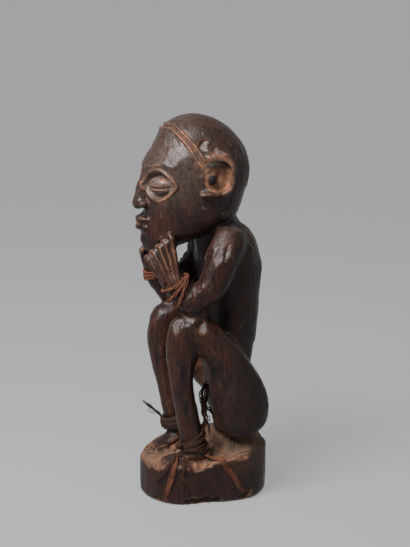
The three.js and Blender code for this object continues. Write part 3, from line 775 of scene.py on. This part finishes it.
def headSize(heights):  # the middle's y and the two half sizes of the head at each height
    shares = np.linspace(0, 1, 90)
    rows = np.array([curveAt(head.stations, share) for share in shares])
    y, wide, deep = (np.interp(heights, rows[:, 2], rows[:, i]) for i in (1, 3, 4))
    beyond = np.clip((heights - rows[-1, 2]) / head.ends[1], 0, 0.999)
    reach = np.sqrt(1 - beyond ** 2)
    return y, wide * reach, deep * reach


def hairline(turn):  # the height of the hair's edge round the head, and how fast it falls
    past = np.maximum(np.abs(turn) - 0.45, 0) / 0.95
    return 329 - 27 * past ** 2, -2 * 27 / 0.95 * past


def sculptHead(surface):
    points = surface.points
    normals = surface.normals()
    x, y, z = points.T
    middle, wide, deep = headSize(z)
    turn = np.arctan2(x / wide, -(y - middle) / deep)
    radius = np.hypot(x / wide, (y - middle) / deep)
    onHead = step(0.86, 0.93, radius) * step(1.16, 1.06, radius) * step(226, 232, z)
    push = np.zeros(len(points))
    socket = np.zeros(len(points))
    for way in (-1, 1):
        aside = turn * way
        u = (aside - face["eyeTurn"]) / 0.44
        v = (z - face["eye"]) / 13
        lens = np.sqrt(u ** 2 + (v / np.maximum(1 - 0.45 * np.minimum(u ** 2, 1.6), 0.25)) ** 2)
        near = onHead * (np.abs(u) < 1.35)
        push += near * 1.7 * np.exp(-((lens - 1) / 0.1) ** 2)
        push -= near * 5 * step(0.95, 0.66, lens)
        ball = np.clip(1 - (u / 0.78) ** 2 - ((v + 0.03) / 0.62) ** 2, 0, 1)
        push += near * 6.6 * np.sqrt(ball)
        slit = v + 0.14 - 0.16 * u ** 2
        push -= near * 1.7 * np.exp(-(slit / 0.055) ** 2) * step(0.05, 0.3, ball)
        push += near * 0.6 * step(0, 0.05, slit) * step(0.0, 0.3, ball)
        push += onHead * 1.3 * np.exp(-((v - 1.42 + 0.35 * u ** 2) / 0.2) ** 2) * step(1.25, 0.8, np.abs(u))
        push += onHead * 1.6 * np.exp(-((z - 262) / 8) ** 2 - ((aside - 0.72) / 0.22) ** 2)
        push -= onHead * 0.9 * np.exp(-((z - 256 + 14 * (aside - 0.3)) / 2.2) ** 2 - ((aside - 0.34) / 0.1) ** 2)
        socket += near * step(1.0, 0.85, lens)
    push += onHead * 1.6 * np.exp(-((z - 233) / 5) ** 2 - (turn / 0.25) ** 2)
    push -= onHead * 1.1 * np.exp(-((z - 241) / 2) ** 2 - (turn / 0.2) ** 2)
    push -= onHead * 0.9 * np.exp(-((z - 254.5) / 2.5) ** 2 - (x / 1.5) ** 2)
    line, fall = hairline(turn)
    away = (z - line) / np.hypot(1, fall / 38) / np.maximum(np.sqrt(1 - np.minimum(normals[:, 2] ** 2, 0.95)), 0.3)
    onLine = onHead * step(1.5, 1.43, np.abs(turn)) * (z > 285)
    hair = 1.5 * np.exp(-((np.abs(away) - 2.3) / 1.15) ** 2) - 0.5 * np.exp(-(away / 0.9) ** 2)
    push += onLine * hair
    surface.points = points + normals * push[:, None]
    return socket, onLine * np.exp(-((np.abs(away) - 2.3) / 1.2) ** 2)


def alongLimb(points, limb):  # 1 on this limb's own surface, 0 well away from it
    nearest = np.full(len(points), 9.0)
    for share in np.linspace(0.04, 0.96, 26):
        centre, wide, deep = limb.frameAt(share)[:3]
        nearest = np.minimum(nearest, np.linalg.norm(points - centre, axis=1) / ((wide + deep) / 2))
    return step(1.3, 1.12, nearest)


def cutFacets(surface, spacing, way, squeeze, strength, where, seed):  # flat knife strokes, longer along the way
    rng = np.random.default_rng(seed)
    points = surface.points
    way = unit(np.array(way, float))
    normals = surface.blur(surface.normals(), 6)
    normals /= np.linalg.norm(normals, axis=1)[:, None]
    inside = np.nonzero(where > 0.01)[0]
    order = rng.permutation(inside)
    scaled = points - np.outer(points @ way, way) * (1 - squeeze)
    cells = np.floor(scaled[order] / spacing + rng.random(3)).astype(int)
    _, first = np.unique(cells, axis=0, return_index=True)
    sites = order[first]
    tree = kdtree.KDTree(len(sites))
    for i, site in enumerate(sites):
        tree.insert(scaled[site], i)
    tree.balance()
    near = np.array([[hit[1] for hit in tree.find_n(scaled[i], 4)] for i in inside])
    chosen = sites[near]
    gapTo = ((points[chosen] - points[inside][:, None]) * normals[chosen]).sum(2)
    facing = np.maximum((normals[chosen] * normals[inside][:, None]).sum(2), 0.35)
    lift = np.clip((gapTo / facing).min(1), -0.5, 0.9)
    lift = (lift - lift.mean()) * strength * where[inside]
    moved = np.zeros(len(points))
    moved[inside] = lift
    moved = surface.blur(moved, 1)
    surface.points = points + surface.normals() * moved[:, None]


def cutBetweenFingers(surface, way):  # long grooves down the back of the hand
    x, y, z = (surface.points * (way, 1, 1)).T
    normals = surface.normals()
    depth = np.zeros(len(x))
    for i in range(4):
        root, tip = fingerLine(way, (i + 0.5) / 4 - 0.5)
        aim = tip - root - (0, 1.6, 0)
        length = math.hypot(aim[1], aim[2])
        t = ((y - root[1]) * aim[1] + (z - root[2]) * aim[2]) / length ** 2
        across = ((y - root[1]) * aim[2] - (z - root[2]) * aim[1]) / length
        rise = x - root[0] - aim[0] * t
        near = step(0.5, 1.5, rise) * step(11, 9, rise) * step(-0.45, -0.1, t) * step(1.05, 0.95, t)
        depth = np.maximum(depth, near * np.exp(-(across / (0.75 + 0.3 * np.clip(t, 0, 1))) ** 2))
    surface.points -= normals * (1.15 * depth * step(0.05, 0.4, normals[:, 0] * way))[:, None]


def sliceOff(surface, at, facing, along, half, depth, rough=0.0):  # one flat cut at a place on the surface
    points = surface.points
    facing = unit(np.array(facing, float))
    site = points[np.argmin(np.linalg.norm(points - np.array(at, float), axis=1))]
    along = np.array(along, float)
    along = unit(along - facing * along.dot(facing))
    across = np.cross(facing, along)
    off = points - site
    far = np.hypot(off @ along / half[0], off @ across / half[1])
    over = off @ facing + depth + rough * waves(points, 3.5, 31)
    lift = np.where(over > 0, over, 0) * step(1.0, 0.8, far) * (np.abs(off @ facing) < 9)
    surface.points = points - np.outer(lift, facing)
    return lift


def waves(points, size, seed, stretch=(1, 1, 1)):  # a soft uneven pattern from a few crossing sine waves
    rng = np.random.default_rng(seed)
    total = np.zeros(len(points))
    for _ in range(9):
        way = rng.normal(size=3)
        way /= np.linalg.norm(way)
        turns = (points * np.array(stretch)) @ way / (size * rng.uniform(0.7, 1.5))
        total += np.sin(turns * 2 * math.pi + rng.uniform(0, 6.3))
    return total / 4


# Each cut is its place, the way it faces, the way it runs, half its length and width, and its depth.
knifeCuts = [
    ((37, -36, 165), (0.74, -0.52, 0.42), (0.2, 0.3, 1), (8, 6), 0.9),
    ((43, -12, 163), (0.79, -0.4, 0.47), (0, 1, 0.3), (9, 6), 1.5),
    ((47.8, -2, 221), (0.77, -0.5, 0.4), (-0.05, -0.35, -1), (17, 4.6), 0.7),
    ((49, 6.5, 225), (0.8, -0.36, 0.46), (0, -0.1, -1), (12, 4), 0.8),
    ((-32.5, -7, 205), (0.6, -0.5, 0.62), (0, -0.8, 0.5), (12, 4), 0.5),
    ((35.6, 3, 309), (0.8, -0.3, 0.52), (0, 1, 0), (8, 6), 0.45),
    ((34, -8, 314), (0.76, -0.4, 0.52), (0, 1, 0.4), (7, 6), 0.4),
]
rimChips = [
    ((31, -25, 38.5), (0.8, -0.1, 0.6), (0, 1, 0), (7, 5), 2.2),
    ((36, -18, 38.8), (0.75, 0.05, 0.66), (0, 1, 0), (8, 6), 2.6),
    ((39.5, -9, 39.5), (0.8, 0, 0.6), (0, 1, 0), (6, 4), 1.7),
    ((9, -52, 34.5), (0.3, -0.7, 0.7), (1, 0.2, 0), (5, 4), 1.5),
    ((19, -48, 35), (0.5, -0.6, 0.65), (1, 0.5, 0), (5, 4), 1.9),
    ((28, -41, 36.5), (0.7, -0.45, 0.6), (0.5, 1, 0), (4, 3), 1.4),
    ((41, 22, 42), (0.8, 0.2, 0.6), (0, 1, 0), (5, 3), 1.2),
    ((-30, -42, 36), (-0.6, -0.6, 0.6), (1, -1, 0), (6, 3), 1.4),
    ((-50, 24, 44), (-0.8, 0.3, 0.6), (0, 1, 0), (7, 3), 1.6),
    ((8, 55, 48), (0, 0.8, 0.6), (1, 0, 0), (6, 3), 1.3),
]
footBites = [
    ((34, -21, 4), (0.72, -0.1, -0.7), (0, 1, 0), (9, 5), 1.3),
    ((35, -12, 3.5), (0.66, 0.1, -0.75), (0, 1, 0), (9, 5), 2.0),
    ((36.5, -2.5, 3.5), (0.75, 0.1, -0.66), (0, 1, 0), (7, 5), 1.4),
    ((21, -49, 3), (0.4, -0.6, -0.7), (1, 0.4, 0), (7, 4), 1.6),
    ((44, 26, 3.5), (0.66, 0.3, -0.7), (0.3, 1, 0), (7, 4), 1.5),
    ((-46, -30, 3), (-0.6, -0.4, -0.7), (0.6, -1, 0), (8, 4), 1.7),
    ((-20, 52, 3), (-0.3, 0.6, -0.7), (1, 0.3, 0), (9, 4), 1.8),
]


carving = {
    "voxel": 1.42, "kept": 0.73, "chipRoughness": 0.35, "topUnevenness": 0.35,
    "limbFacet": 6.5, "limbStrength": 1.05, "torsoFacet": 9, "torsoStrength": 0.8,
    "skullFacet": 8.5, "skullStrength": 0.95, "wallFacet": 10, "wallStrength": 0.8,
    "bladeDepth": 2.3, "spineDepth": 1.9,
}


def figureShapes():
    shapes = [skullShape(), limbShape(neck), limbShape(torso, 80, 120), baseShape()] + faceShapes()
    for way in (1, -1):
        shapes += fingerShapes(way) + footShapes(way)
        x, y, z = face["earX"] + 1.5, face["earY"] - 5.5, face["earZ"] - 14.5
        shapes.append(pebble((way * x, y, z), (4.5, 10, 2.9)))
        shapes.append(pebble((way * 35, -11.5, 172 - onRight(way, "rightKneeDrop")), (4, 4.5, 3.2)))
    shapes.append(pebble((-35, 4.6, 187.5), (5, 5.5, 5.5)))
    for limbs in (leftArm, rightArm, leftLeg, rightLeg):
        shapes += [limbShape(limb, 56, 90) for limb in limbs]
    return shapes


def blendForms(surface):  # the shoulders run into the back, and the front of the face is worn
    surface.smooth(3)
    x, y, z = surface.points.T
    middle, wide, deep = headSize(z)
    inHead = step(1.12, 1.0, np.hypot(x / wide, (y - middle) / deep)) * step(224, 232, z)
    upperBack = np.maximum(step(-12, 4, y) * step(190, 206, z), step(16, 28, y) * step(160, 200, z))
    surface.soften(upperBack * (1 - inHead) * step(262, 250, z), 70)
    surface.soften(step(-40, -46, y) * step(236, 242, z) * step(304, 298, z), 8)


def carveBack(surface, normals, values):  # flat shoulder blades and a shallow groove down the spine
    x, y, z = surface.points.T
    behind = step(0.3, 0.8, normals[:, 1]) * step(20, 30, y)
    push = behind * (values["bladeDepth"] * np.exp(-((np.abs(x) - 17) / 8) ** 2 - ((z - 205) / 15) ** 2))
    push -= behind * values["spineDepth"] * np.exp(-(x / 4) ** 2) * step(112, 125, z) * step(222, 208, z)
    surface.points += normals * push[:, None]


def cutBody(surface, limbSpan, values):  # returns where the arms and legs are
    done = np.zeros(len(limbSpan))
    for limbs, seed in ((leftArm, 3), (rightArm, 4), (leftLeg, 5), (rightLeg, 6)):
        for limb in limbs:
            where = alongLimb(surface.points, limb) * limbSpan * (1 - done)
            way = limb.stations[-1, :3] - limb.stations[0, :3]
            cutFacets(surface, values["limbFacet"], way, 0.3, values["limbStrength"], where, seed)
            done = np.maximum(done, where)
    cutFacets(surface, values["torsoFacet"], (0, 0, 1), 0.4, values["torsoStrength"], limbSpan * (1 - done), 8)
    return done


def makeFigure(values):
    mesh = joinCarving(figureShapes(), values["voxel"])
    print("carving joined,", len(mesh.polygons), "faces")
    surface = Surface(mesh)
    blendForms(surface)
    socket, hair = sculptHead(surface)
    surface.smooth(1)
    normals = surface.normals()
    carveBack(surface, normals, values)
    x, y, z = surface.points.T
    bend = surface.blur(np.abs(surface.hollows(3)), 3)
    plain = step(0.1, 0.05, bend) * (1 - socket) * (1 - np.clip(hair * 2, 0, 1))
    hands = step(-19, -25, y) * step(194, 202, z)
    limbSpan = plain * step(46, 52, z) * step(238, 230, z) * (1 - hands)
    done = cutBody(surface, limbSpan, values)
    skull = step(228, 236, z) * step(41.5, 40.5, np.abs(x)) * plain * (1 - 0.7 * step(318, 328, z))
    cutFacets(surface, values["skullFacet"], (0, 0, 1), 0.6, values["skullStrength"], skull, 9)
    level = baseTop(x, y)
    onBase = step(2.5, 1, z - level)
    outward = np.hypot(x, y) / baseReach(np.arctan2(y, x), 1)
    wall = onBase * step(0.5, 0.3, np.abs(normals[:, 2])) * step(0.8, 0.9, outward)
    cutFacets(surface, values["wallFacet"], (0, 0, 1), 0.35, values["wallStrength"], wall, 7)
    for way in (1, -1):
        cutBetweenFingers(surface, way)
    for row in knifeCuts:
        sliceOff(surface, *row)
    chipped = np.zeros(len(z))
    for row in rimChips + footBites:
        chipped += sliceOff(surface, *row, values["chipRoughness"])
    top = onBase * step(0.25, 0.5, normals[:, 2]) * (1 - 0.75 * step(0.2, 0.9, chipped)) * step(0.99, 0.96, outward)
    feet = step(0.2, 0.6, normals[:, 2]) * step(-20, -26, y) * step(54, 50, z) * step(0.8, 1.6, z - level)
    torsoSide = limbSpan * (1 - done) * step(70, 90, z) * step(225, 205, z)
    push = top * values["topUnevenness"] * waves(surface.points, 14, 11)
    push += 0.1 * waves(surface.points, 7, 12, (1, 1, 0.4))
    push += 0.05 * limbSpan * waves(surface.points, 3.2, 14, (1, 1, 0.15))
    surface.points += surface.normals() * push[:, None]
    surface.points[surface.points[:, 2] < 0.6, 2] = 0
    surface.points[:, 2] = np.minimum(surface.points[:, 2], 340)
    addMarks(surface, socket, top * (1 - 0.7 * feet), hair, step(0.3, 1.2, chipped), torsoSide)
    writePoints(mesh, surface.points * mm)
    fine = applied(mesh, "DECIMATE", ratio=values["kept"])  # fewer triangles where the surface is nearly flat
    print("carving thinned,", len(fine.polygons), "faces")
    return addPiece("carvedFigure", fine, patinaWood, "figure")


def addMarks(surface, socket, top, hair, chipped, torsoSide):  # worn edges, dusty creases and other stains, with painted shade in recesses and undersides and painted light on two patches
    points = surface.points
    x, y, z = points.T
    fine = surface.hollows(3)
    broad = surface.hollows(30)
    patchy = step(-0.5, 0.6, waves(points, 18, 21))
    upper = step(200, 225, z)
    wearAndLitEar = step(0.07, 0.18, -fine) * (0.3 + 0.7 * patchy) * (0.2 + 0.6 * upper + 0.6 * step(52, 44, z))
    wearAndLitEar = np.clip(wearAndLitEar + 0.26 * hair * (0.4 + 0.6 * patchy) + 0.4 * chipped * step(20, 30, z), 0, 1)
    creaseDustAndLitPatch = step(0.08, 0.24, fine) * (0.25 + 0.5 * patchy) * (1 - 0.6 * socket)
    low = step(56, 46, z) * (0.15 + 0.85 * step(22, 34, z))
    creaseDustAndLitPatch = np.clip(creaseDustAndLitPatch + low * (0.5 * step(0.4, 1.1, broad) + 0.4 * step(0.04, 0.12, fine)) * patchy, 0, 1)
    creaseDustAndLitPatch *= 1 - 0.75 * step(-19, -25, y) * step(188, 196, z) * step(242, 234, z)
    b, h = (y - face["earY"]) / face["earWide"], (z - face["earZ"]) / face["earHigh"]
    far = earFar(b, h)
    onEar = step(23, 27, np.abs(x)) * (z > 255) * (far < 1.6)
    hollow = onEar * step(0.82, 0.72, far)
    creaseDustAndLitPatch = np.clip(creaseDustAndLitPatch + hollow, 0, 1)
    wearAndLitEar = np.clip(wearAndLitEar + onEar * 0.4 * np.exp(-((far - 0.92) / 0.12) ** 2) * step(0.2, 0.6, h), 0, 1)
    wearAndLitEar += onEar * 0.18 * step(1.6, 1.2, far) * step(0.9, 1.0, far) * step(0.2, 0.7, h) * patchy
    # Partly painted light: the ear's hollow has its own orange-brown tone, and its lower front is lightened further
    # to the worn tone where light falls on it.
    wearAndLitEar = np.maximum(wearAndLitEar, hollow * step(-0.8, -0.2, b) * step(0.6, 0.2, h))
    wearAndLitEar += 0.12 * low * (1 - top) * step(4, 16, y)
    # Painted shade: the ear hole, the band under the ear's top rim, the torso's sides, the bites under the base,
    # the grooves between the toes and the near leg's underside are darkened.
    shade = onEar * step(0.34, 0.2, np.hypot(b + 0.36, h + 0.12)) + 0.25 * torsoSide
    shade += 0.5 * chipped * step(12, 6, z)
    toes = step(-24, -30, y) * step(54, 50, z) * step(30, 34, z)
    shade += 0.75 * toes * step(0.05, 0.22, fine)
    shade += 0.3 * step(60, 70, z) * step(135, 120, z) * step(20, 40, x) * step(-14, 0, y)
    shade += onEar * 0.9 * step(0.86, 0.78, far) * step(0.3, 0.55, h) * step(-1.0, -0.7, b)
    atJaw = step(229, 237, z) * step(246, 243, z) * step(-37, -41, y) * (np.abs(x) < 34) * step(19, 22, np.abs(x))
    wearAndLitEar = np.maximum(wearAndLitEar, 0.4 * patchy * atJaw)
    # Painted light: a patch on the far thigh's inner side and the torso front is lightened with the dust tone,
    # where light falls on it.
    paintedLitPatch = step(82, 92, z) * step(132, 118, z) * step(8, 0, x) * step(-8, -3, y) * step(20, 12, y)
    creaseDustAndLitPatch = np.maximum(creaseDustAndLitPatch, 0.6 * paintedLitPatch * patchy)
    warmth = 0.95 * step(172, 158, z) * step(50, 60, z) * step(14, 0, y) + 0.4 * step(165, 175, z) + 0.35
    warmth += 0.35 * step(44, 40, z) * (1 - 0.5 * np.exp(-((y + 8) / 16) ** 2) * step(20, 30, x))
    facing = surface.normals()[:, 2]
    grey = 0.7 * socket + 0.15 * step(240, 300, z) + 0.22 * step(250, 285, z) * step(0, -20, y)
    grey += 0.25 * step(0.3, 0.8, facing) * step(205, 225, z) * step(252, 246, z)
    cracks = 0.8 * top * step(12, 24, y) + 0.25 * top
    marks = {"wearAndLitEar": wearAndLitEar, "creaseDustAndLitPatch": creaseDustAndLitPatch, "baseTop": surface.blur(top, 2), "warmth": warmth, "grey": grey,
             "shade": shade, "cracks": cracks, "bare": chipped}
    for name, values in marks.items():
        made = surface.mesh.attributes.new(name, "FLOAT", "POINT")
        made.data.foreach_set("value", np.clip(values, 0, 1).astype(np.float32))


makeFigure(carving)
print("figure ready")


# Raffia lashings: each turn is a bundle of strands that wind about each other, with knots and short ends

def turnStrand(limb, share, lean, push, half, number, bundle, phase, twists):
    def place(turn, u, v):
        lift = push + 0.2 * math.sin(3 * turn + number * 0.7) + bundle[1] * math.sin(phase + twists * turn)
        here = limb.point(share - lean * math.sin(turn), turn, lift)
        ahead = limb.point(share - lean * math.sin(turn + 0.03), turn + 0.03, lift)
        along = unit(ahead - here)
        out = limb.point(share, turn, 5) - limb.point(share, turn, 0)
        out = unit(out - along * out.dot(along))
        aside = np.cross(along, out)
        slide = bundle[0] * math.cos(phase + twists * turn) + 0.2 * math.sin(2 * turn + number)
        rough = 1 + 0.15 * math.cos(7 * math.atan2(u, v) + number)
        width = half[0] * (1 + 0.15 * math.sin(3 * turn + number * 3))
        return here + out * u * half[1] * rough + aside * (v * width + slide)

    def read(i, turn, u, v, height):
        return v * half[0] + u * 0.4, (turn + math.pi) * 1.4
    return ringShape(place, 96, number, read)


def windings(limb, values):  # bundle and half are sizes along the limb and out of it, of a bundle and of a strand
    bundle, half, seed = values["bundle"], values["half"], values["seed"]
    shapes = []
    for i, (share, lean) in enumerate(values["turns"]):
        push = bundle[1] + half[1] + 0.15 + 0.35 * (i % 2)
        for j in range(values["count"]):
            phase = 2 * math.pi * j / values["count"] + i
            shapes.append(turnStrand(limb, share, lean, push, half, seed + 3 * i + j, bundle, phase,
                                     values["twists"]))
    return shapes


def shortEnds(start, aims, halfWide, seed, halfThick=0.4, bowed=0.14):  # frayed ends that leave a knot
    rng = random.Random(seed)
    shapes = []
    for i, aim in enumerate(aims):
        first, last = np.array(start, float), np.array(aim, float)
        bow = np.array([rng.uniform(-1, 1) for _ in range(3)]) * np.linalg.norm(last - first) * bowed
        line = [first + (last - first) * t + bow * math.sin(math.pi * t) for t in np.linspace(0, 1, 6)]
        shapes.append(ribbon(line, halfWide, halfThick, seed + i, 12, 36, rng.uniform(-2, 2), rng.uniform(0, 3),
                             (0.8, 0.2), facing=((1, 0.2, 0),)))
    return shapes


def knotShapes(centre, size, seed):
    rng = random.Random(seed)
    shapes = []
    for i in range(4):
        tilt = Matrix.Rotation(rng.uniform(0, 3.1), 3, "X") @ Matrix.Rotation(rng.uniform(-0.7, 0.7) + i, 3, "Y")

        def place(turn, u, v, tilt=tilt, i=i):
            reach = size * (0.62 + 0.05 * i) + u * size * 0.28
            spot = tilt @ Vector((reach * math.cos(turn), reach * math.sin(turn), v * size * 0.36))
            return Vector(centre) + spot

        def read(i, turn, u, v, height):
            return height * 0.6, i % 12 * 0.3
        shapes.append(ringShape(place, 40, seed + i, read))
    lump = pebble(centre, (size * 0.7,) * 3, 16, 12)
    shapes.append(marked(lump, seed, [(vert.co.z, vert.co.x) for vert in lump.verts]))
    return shapes


leftWrist = {
    "turns": [(0.4, -0.05), (0.275, 0.055), (0.2, 0.1)],  # each a share of the limb's length, and its lean
    "count": 3, "bundle": (0.85, 0.62), "half": (0.86, 0.78), "twists": 3, "seed": 2,
    "knotAt": (37.8, -35.8, 187.5), "ends": [(35.8, -38.6, 176.5)],
}
strands = windings(leftArm[1], leftWrist) + shortEnds(leftWrist["knotAt"], leftWrist["ends"], 0.6, 18)
finishPiece("leftWristRaffia", gather(strands), wornRaffia, "left_wrist_lashing")

rightWrist = {
    "turns": [(0.48, -0.02), (0.4, 0.035)],
    "count": 4, "bundle": (1.6, 0.5), "half": (0.9, 0.7), "twists": 1, "seed": 12,
}
strands = windings(rightArm[1], rightWrist)
finishPiece("rightWristRaffia", gather(strands), wornRaffia, "right_wrist_lashing")

leftAnkle = {
    "turns": [(0.16, 0.042), (0.125, 0.025), (0.082, -0.01), (0.056, -0.03)],
    "count": 4, "bundle": (1.25, 0.4), "half": (0.62, 0.5), "twists": 1, "seed": 22,
    "knot": (31.5, -32.2, 55.5), "knotSize": 3.3,
    "knotAt": (31.5, -33, 55), "ends": [(30, -37, 47), (34.5, -30, 46), (29, -37.5, 50.5)],
    "bands": [  # which way it faces, its fan, its line
        ((0.8, -0.6, 0.1), (3, 1.3, 1.2, 0.4, 4, 0.25),
         [(31.5, -35, 49), (31.4, -37.4, 43), (30, -41.4, 37), (26.6, -45.6, 29.8), (22.8, -48.4, 24),
          (20.4, -49.8, 18.7)]),
        ((0.8, -0.6, 0.1), (3, 1.2, 1.15, 0.4, 8, 0.25),
         [(31.5, -32, 49.5), (32.2, -31.8, 45), (34.6, -29.8, 41), (37, -29.2, 36.6), (37, -30.2, 31.8),
          (35.6, -32.2, 26.5)]),
        ((0.8, -0.6, 0.1), (2, 0.9, 0.8, 0.35, 15, 0.25),
         [(32, -30, 49.5), (33.8, -28, 44), (36.8, -25, 40.4), (38.6, -24.4, 36.6), (38.4, -25.4, 32.6)]),
        ((0.9, 0, 0.3), (2, 0.6, 0.7, 0.45, 19, 0.2),
         [(35.5, -10, 60), (34, -7.2, 57), (33.6, -6.4, 53.5), (35, -9, 50.6), (36, -13.5, 50), (36, -18, 51)]),
        ((1, 0, 0), (3, 0.9, 0.75, 0.4, 51, 0.3, 0.6),
         [(31, -9.5, 58), (27, -8.4, 65.9), (24, -5.9, 71.9), (22, -5.9, 77.8), (20, -3.7, 82.8), (17, 0.1, 80.5),
          (14, 4.8, 74.4), (12.5, 8, 67.3), (12.5, 9.6, 61.6)]),
        ((1, 0, 0), (3, 0.9, 0.75, 0.4, 55, 0.3, 0.6),
         [(31, -9.5, 58), (27, -8.2, 65.5), (24, -7, 72), (22, -5.6, 78.6), (20, -6, 83.7), (18, -5.2, 89.3)]),
        ((1, 0, 0), (3, 0.9, 0.75, 0.4, 59, 0.3, 0.6),
         [(18, -5.2, 88), (17, -3.4, 94), (15.5, -1.4, 99.5), (13, -3, 102.3)]),
    ],
}
strands = windings(leftLeg[1], leftAnkle) + knotShapes(leftAnkle["knot"], leftAnkle["knotSize"], 5)
for facing, fan, line in leftAnkle["bands"]:
    strands += fanned(line, (facing,), *fan)
strands += shortEnds(leftAnkle["knotAt"], leftAnkle["ends"], 0.5, 14)
# The left ankle lashing takes the darker copy of the raffia, as painted shade.
finishPiece("leftAnkleRaffia", gather(strands), shadedRaffia, "left_ankle_lashing")

rightAnkle = {
    "turns": [(0.174, 0.004), (0.138, 0), (0.102, 0.004)],
    "count": 7, "bundle": (1.7, 1.15), "half": (1.15, 0.95), "twists": 2, "seed": 32,
    "stiffEnd": [(-27.2, -31, 62), (-27, -33, 65.4), (-27, -35.6, 68.2), (-27, -40.5, 72.6), (-27, -45.2, 76.7),
                 (-27, -48.4, 79.8)],
    "knotAt": (-26.5, -35, 68), "ends": [(-24, -46, 73), (-23, -44, 76), (-25, -43, 79)],
}
strands = windings(rightLeg[1], rightAnkle)
strands += fanned(rightAnkle["stiffEnd"], ((1, 0, 0),), 4, 0.75, 0.62, 0.5, 41, 0.25)
strands += shortEnds(rightAnkle["knotAt"], rightAnkle["ends"], 0.2, 45, 0.18, 0.3)
finishPiece("rightAnkleRaffia", gather(strands), darkestRaffia, "right_ankle_lashing")
print("lashings ready")


# Floor and light

stage = {
    "colour": (0.04, 0.041, 0.042, 1), "rough": 0.9, "glow": (0.87, 0.875, 0.87, 1), "glowStrength": 0.385,
    "profile": [(2.5, 0.0), (-1.6, 0.0), (-2.2, 0.12), (-2.6, 0.5), (-2.75, 1.2), (-2.8, 4.0)],
    "length": 12, "turn": -18, "sky": (0.75, 0.78, 0.8, 1), "skyStrength": 0.12,
}


def makeStage(values):
    material, _, shader, _ = newMaterial("paleStage")
    shader.inputs["Base Color"].default_value = values["colour"]
    shader.inputs["Roughness"].default_value = values["rough"]
    shader.inputs["Emission Color"].default_value = values["glow"]
    shader.inputs["Emission Strength"].default_value = values["glowStrength"]
    sweep = bmesh.new()
    verts = [sweep.verts.new((x, -values["length"] / 2, z)) for x, z in values["profile"]]
    edges = [sweep.edges.new(pair) for pair in zip(verts, verts[1:])]
    made = bmesh.ops.extrude_edge_only(sweep, edges=edges)
    moved = [item for item in made["geom"] if isinstance(item, bmesh.types.BMVert)]
    bmesh.ops.translate(sweep, vec=(0, values["length"], 0), verts=moved)
    turn = Matrix.Rotation(math.radians(values["turn"]), 3, "Z")
    bmesh.ops.rotate(sweep, cent=(0, 0, 0), matrix=turn, verts=sweep.verts)
    bmesh.ops.recalc_face_normals(sweep, faces=sweep.faces)
    mesh = bpy.data.meshes.new("floor")
    sweep.to_mesh(mesh)
    sweep.free()
    mesh.polygons.foreach_set("use_smooth", [True] * len(mesh.polygons))
    mesh.materials.append(material)
    floor = bpy.data.objects.new("floor", mesh)
    scene.collection.objects.link(floor)


lights = [
    {"name": "keyLight", "place": (0.55, -0.8, 1.25), "size": 0.8, "power": 58},
    {"name": "fillLight", "place": (1.3, 1.3, 0.8), "size": 1.2, "power": 3},
]


def makeLights(rows, values):
    for row in rows:
        data = bpy.data.lights.new(row["name"], "AREA")
        data.size = row["size"]
        data.energy = row["power"]
        lamp = bpy.data.objects.new(row["name"], data)
        lamp.location = row["place"]
        aim = Vector((0, 0, 0.17)) - Vector(row["place"])
        lamp.rotation_euler = aim.to_track_quat("-Z", "Y").to_euler()
        scene.collection.objects.link(lamp)
    world = bpy.data.worlds.new("studio")
    world.use_nodes = True
    world.node_tree.nodes["Background"].inputs[0].default_value = values["sky"]
    world.node_tree.nodes["Background"].inputs[1].default_value = values["skyStrength"]
    scene.world = world
    scene.view_settings.view_transform = "Standard"


makeStage(stage)
makeLights(lights, stage)

print("all ready")
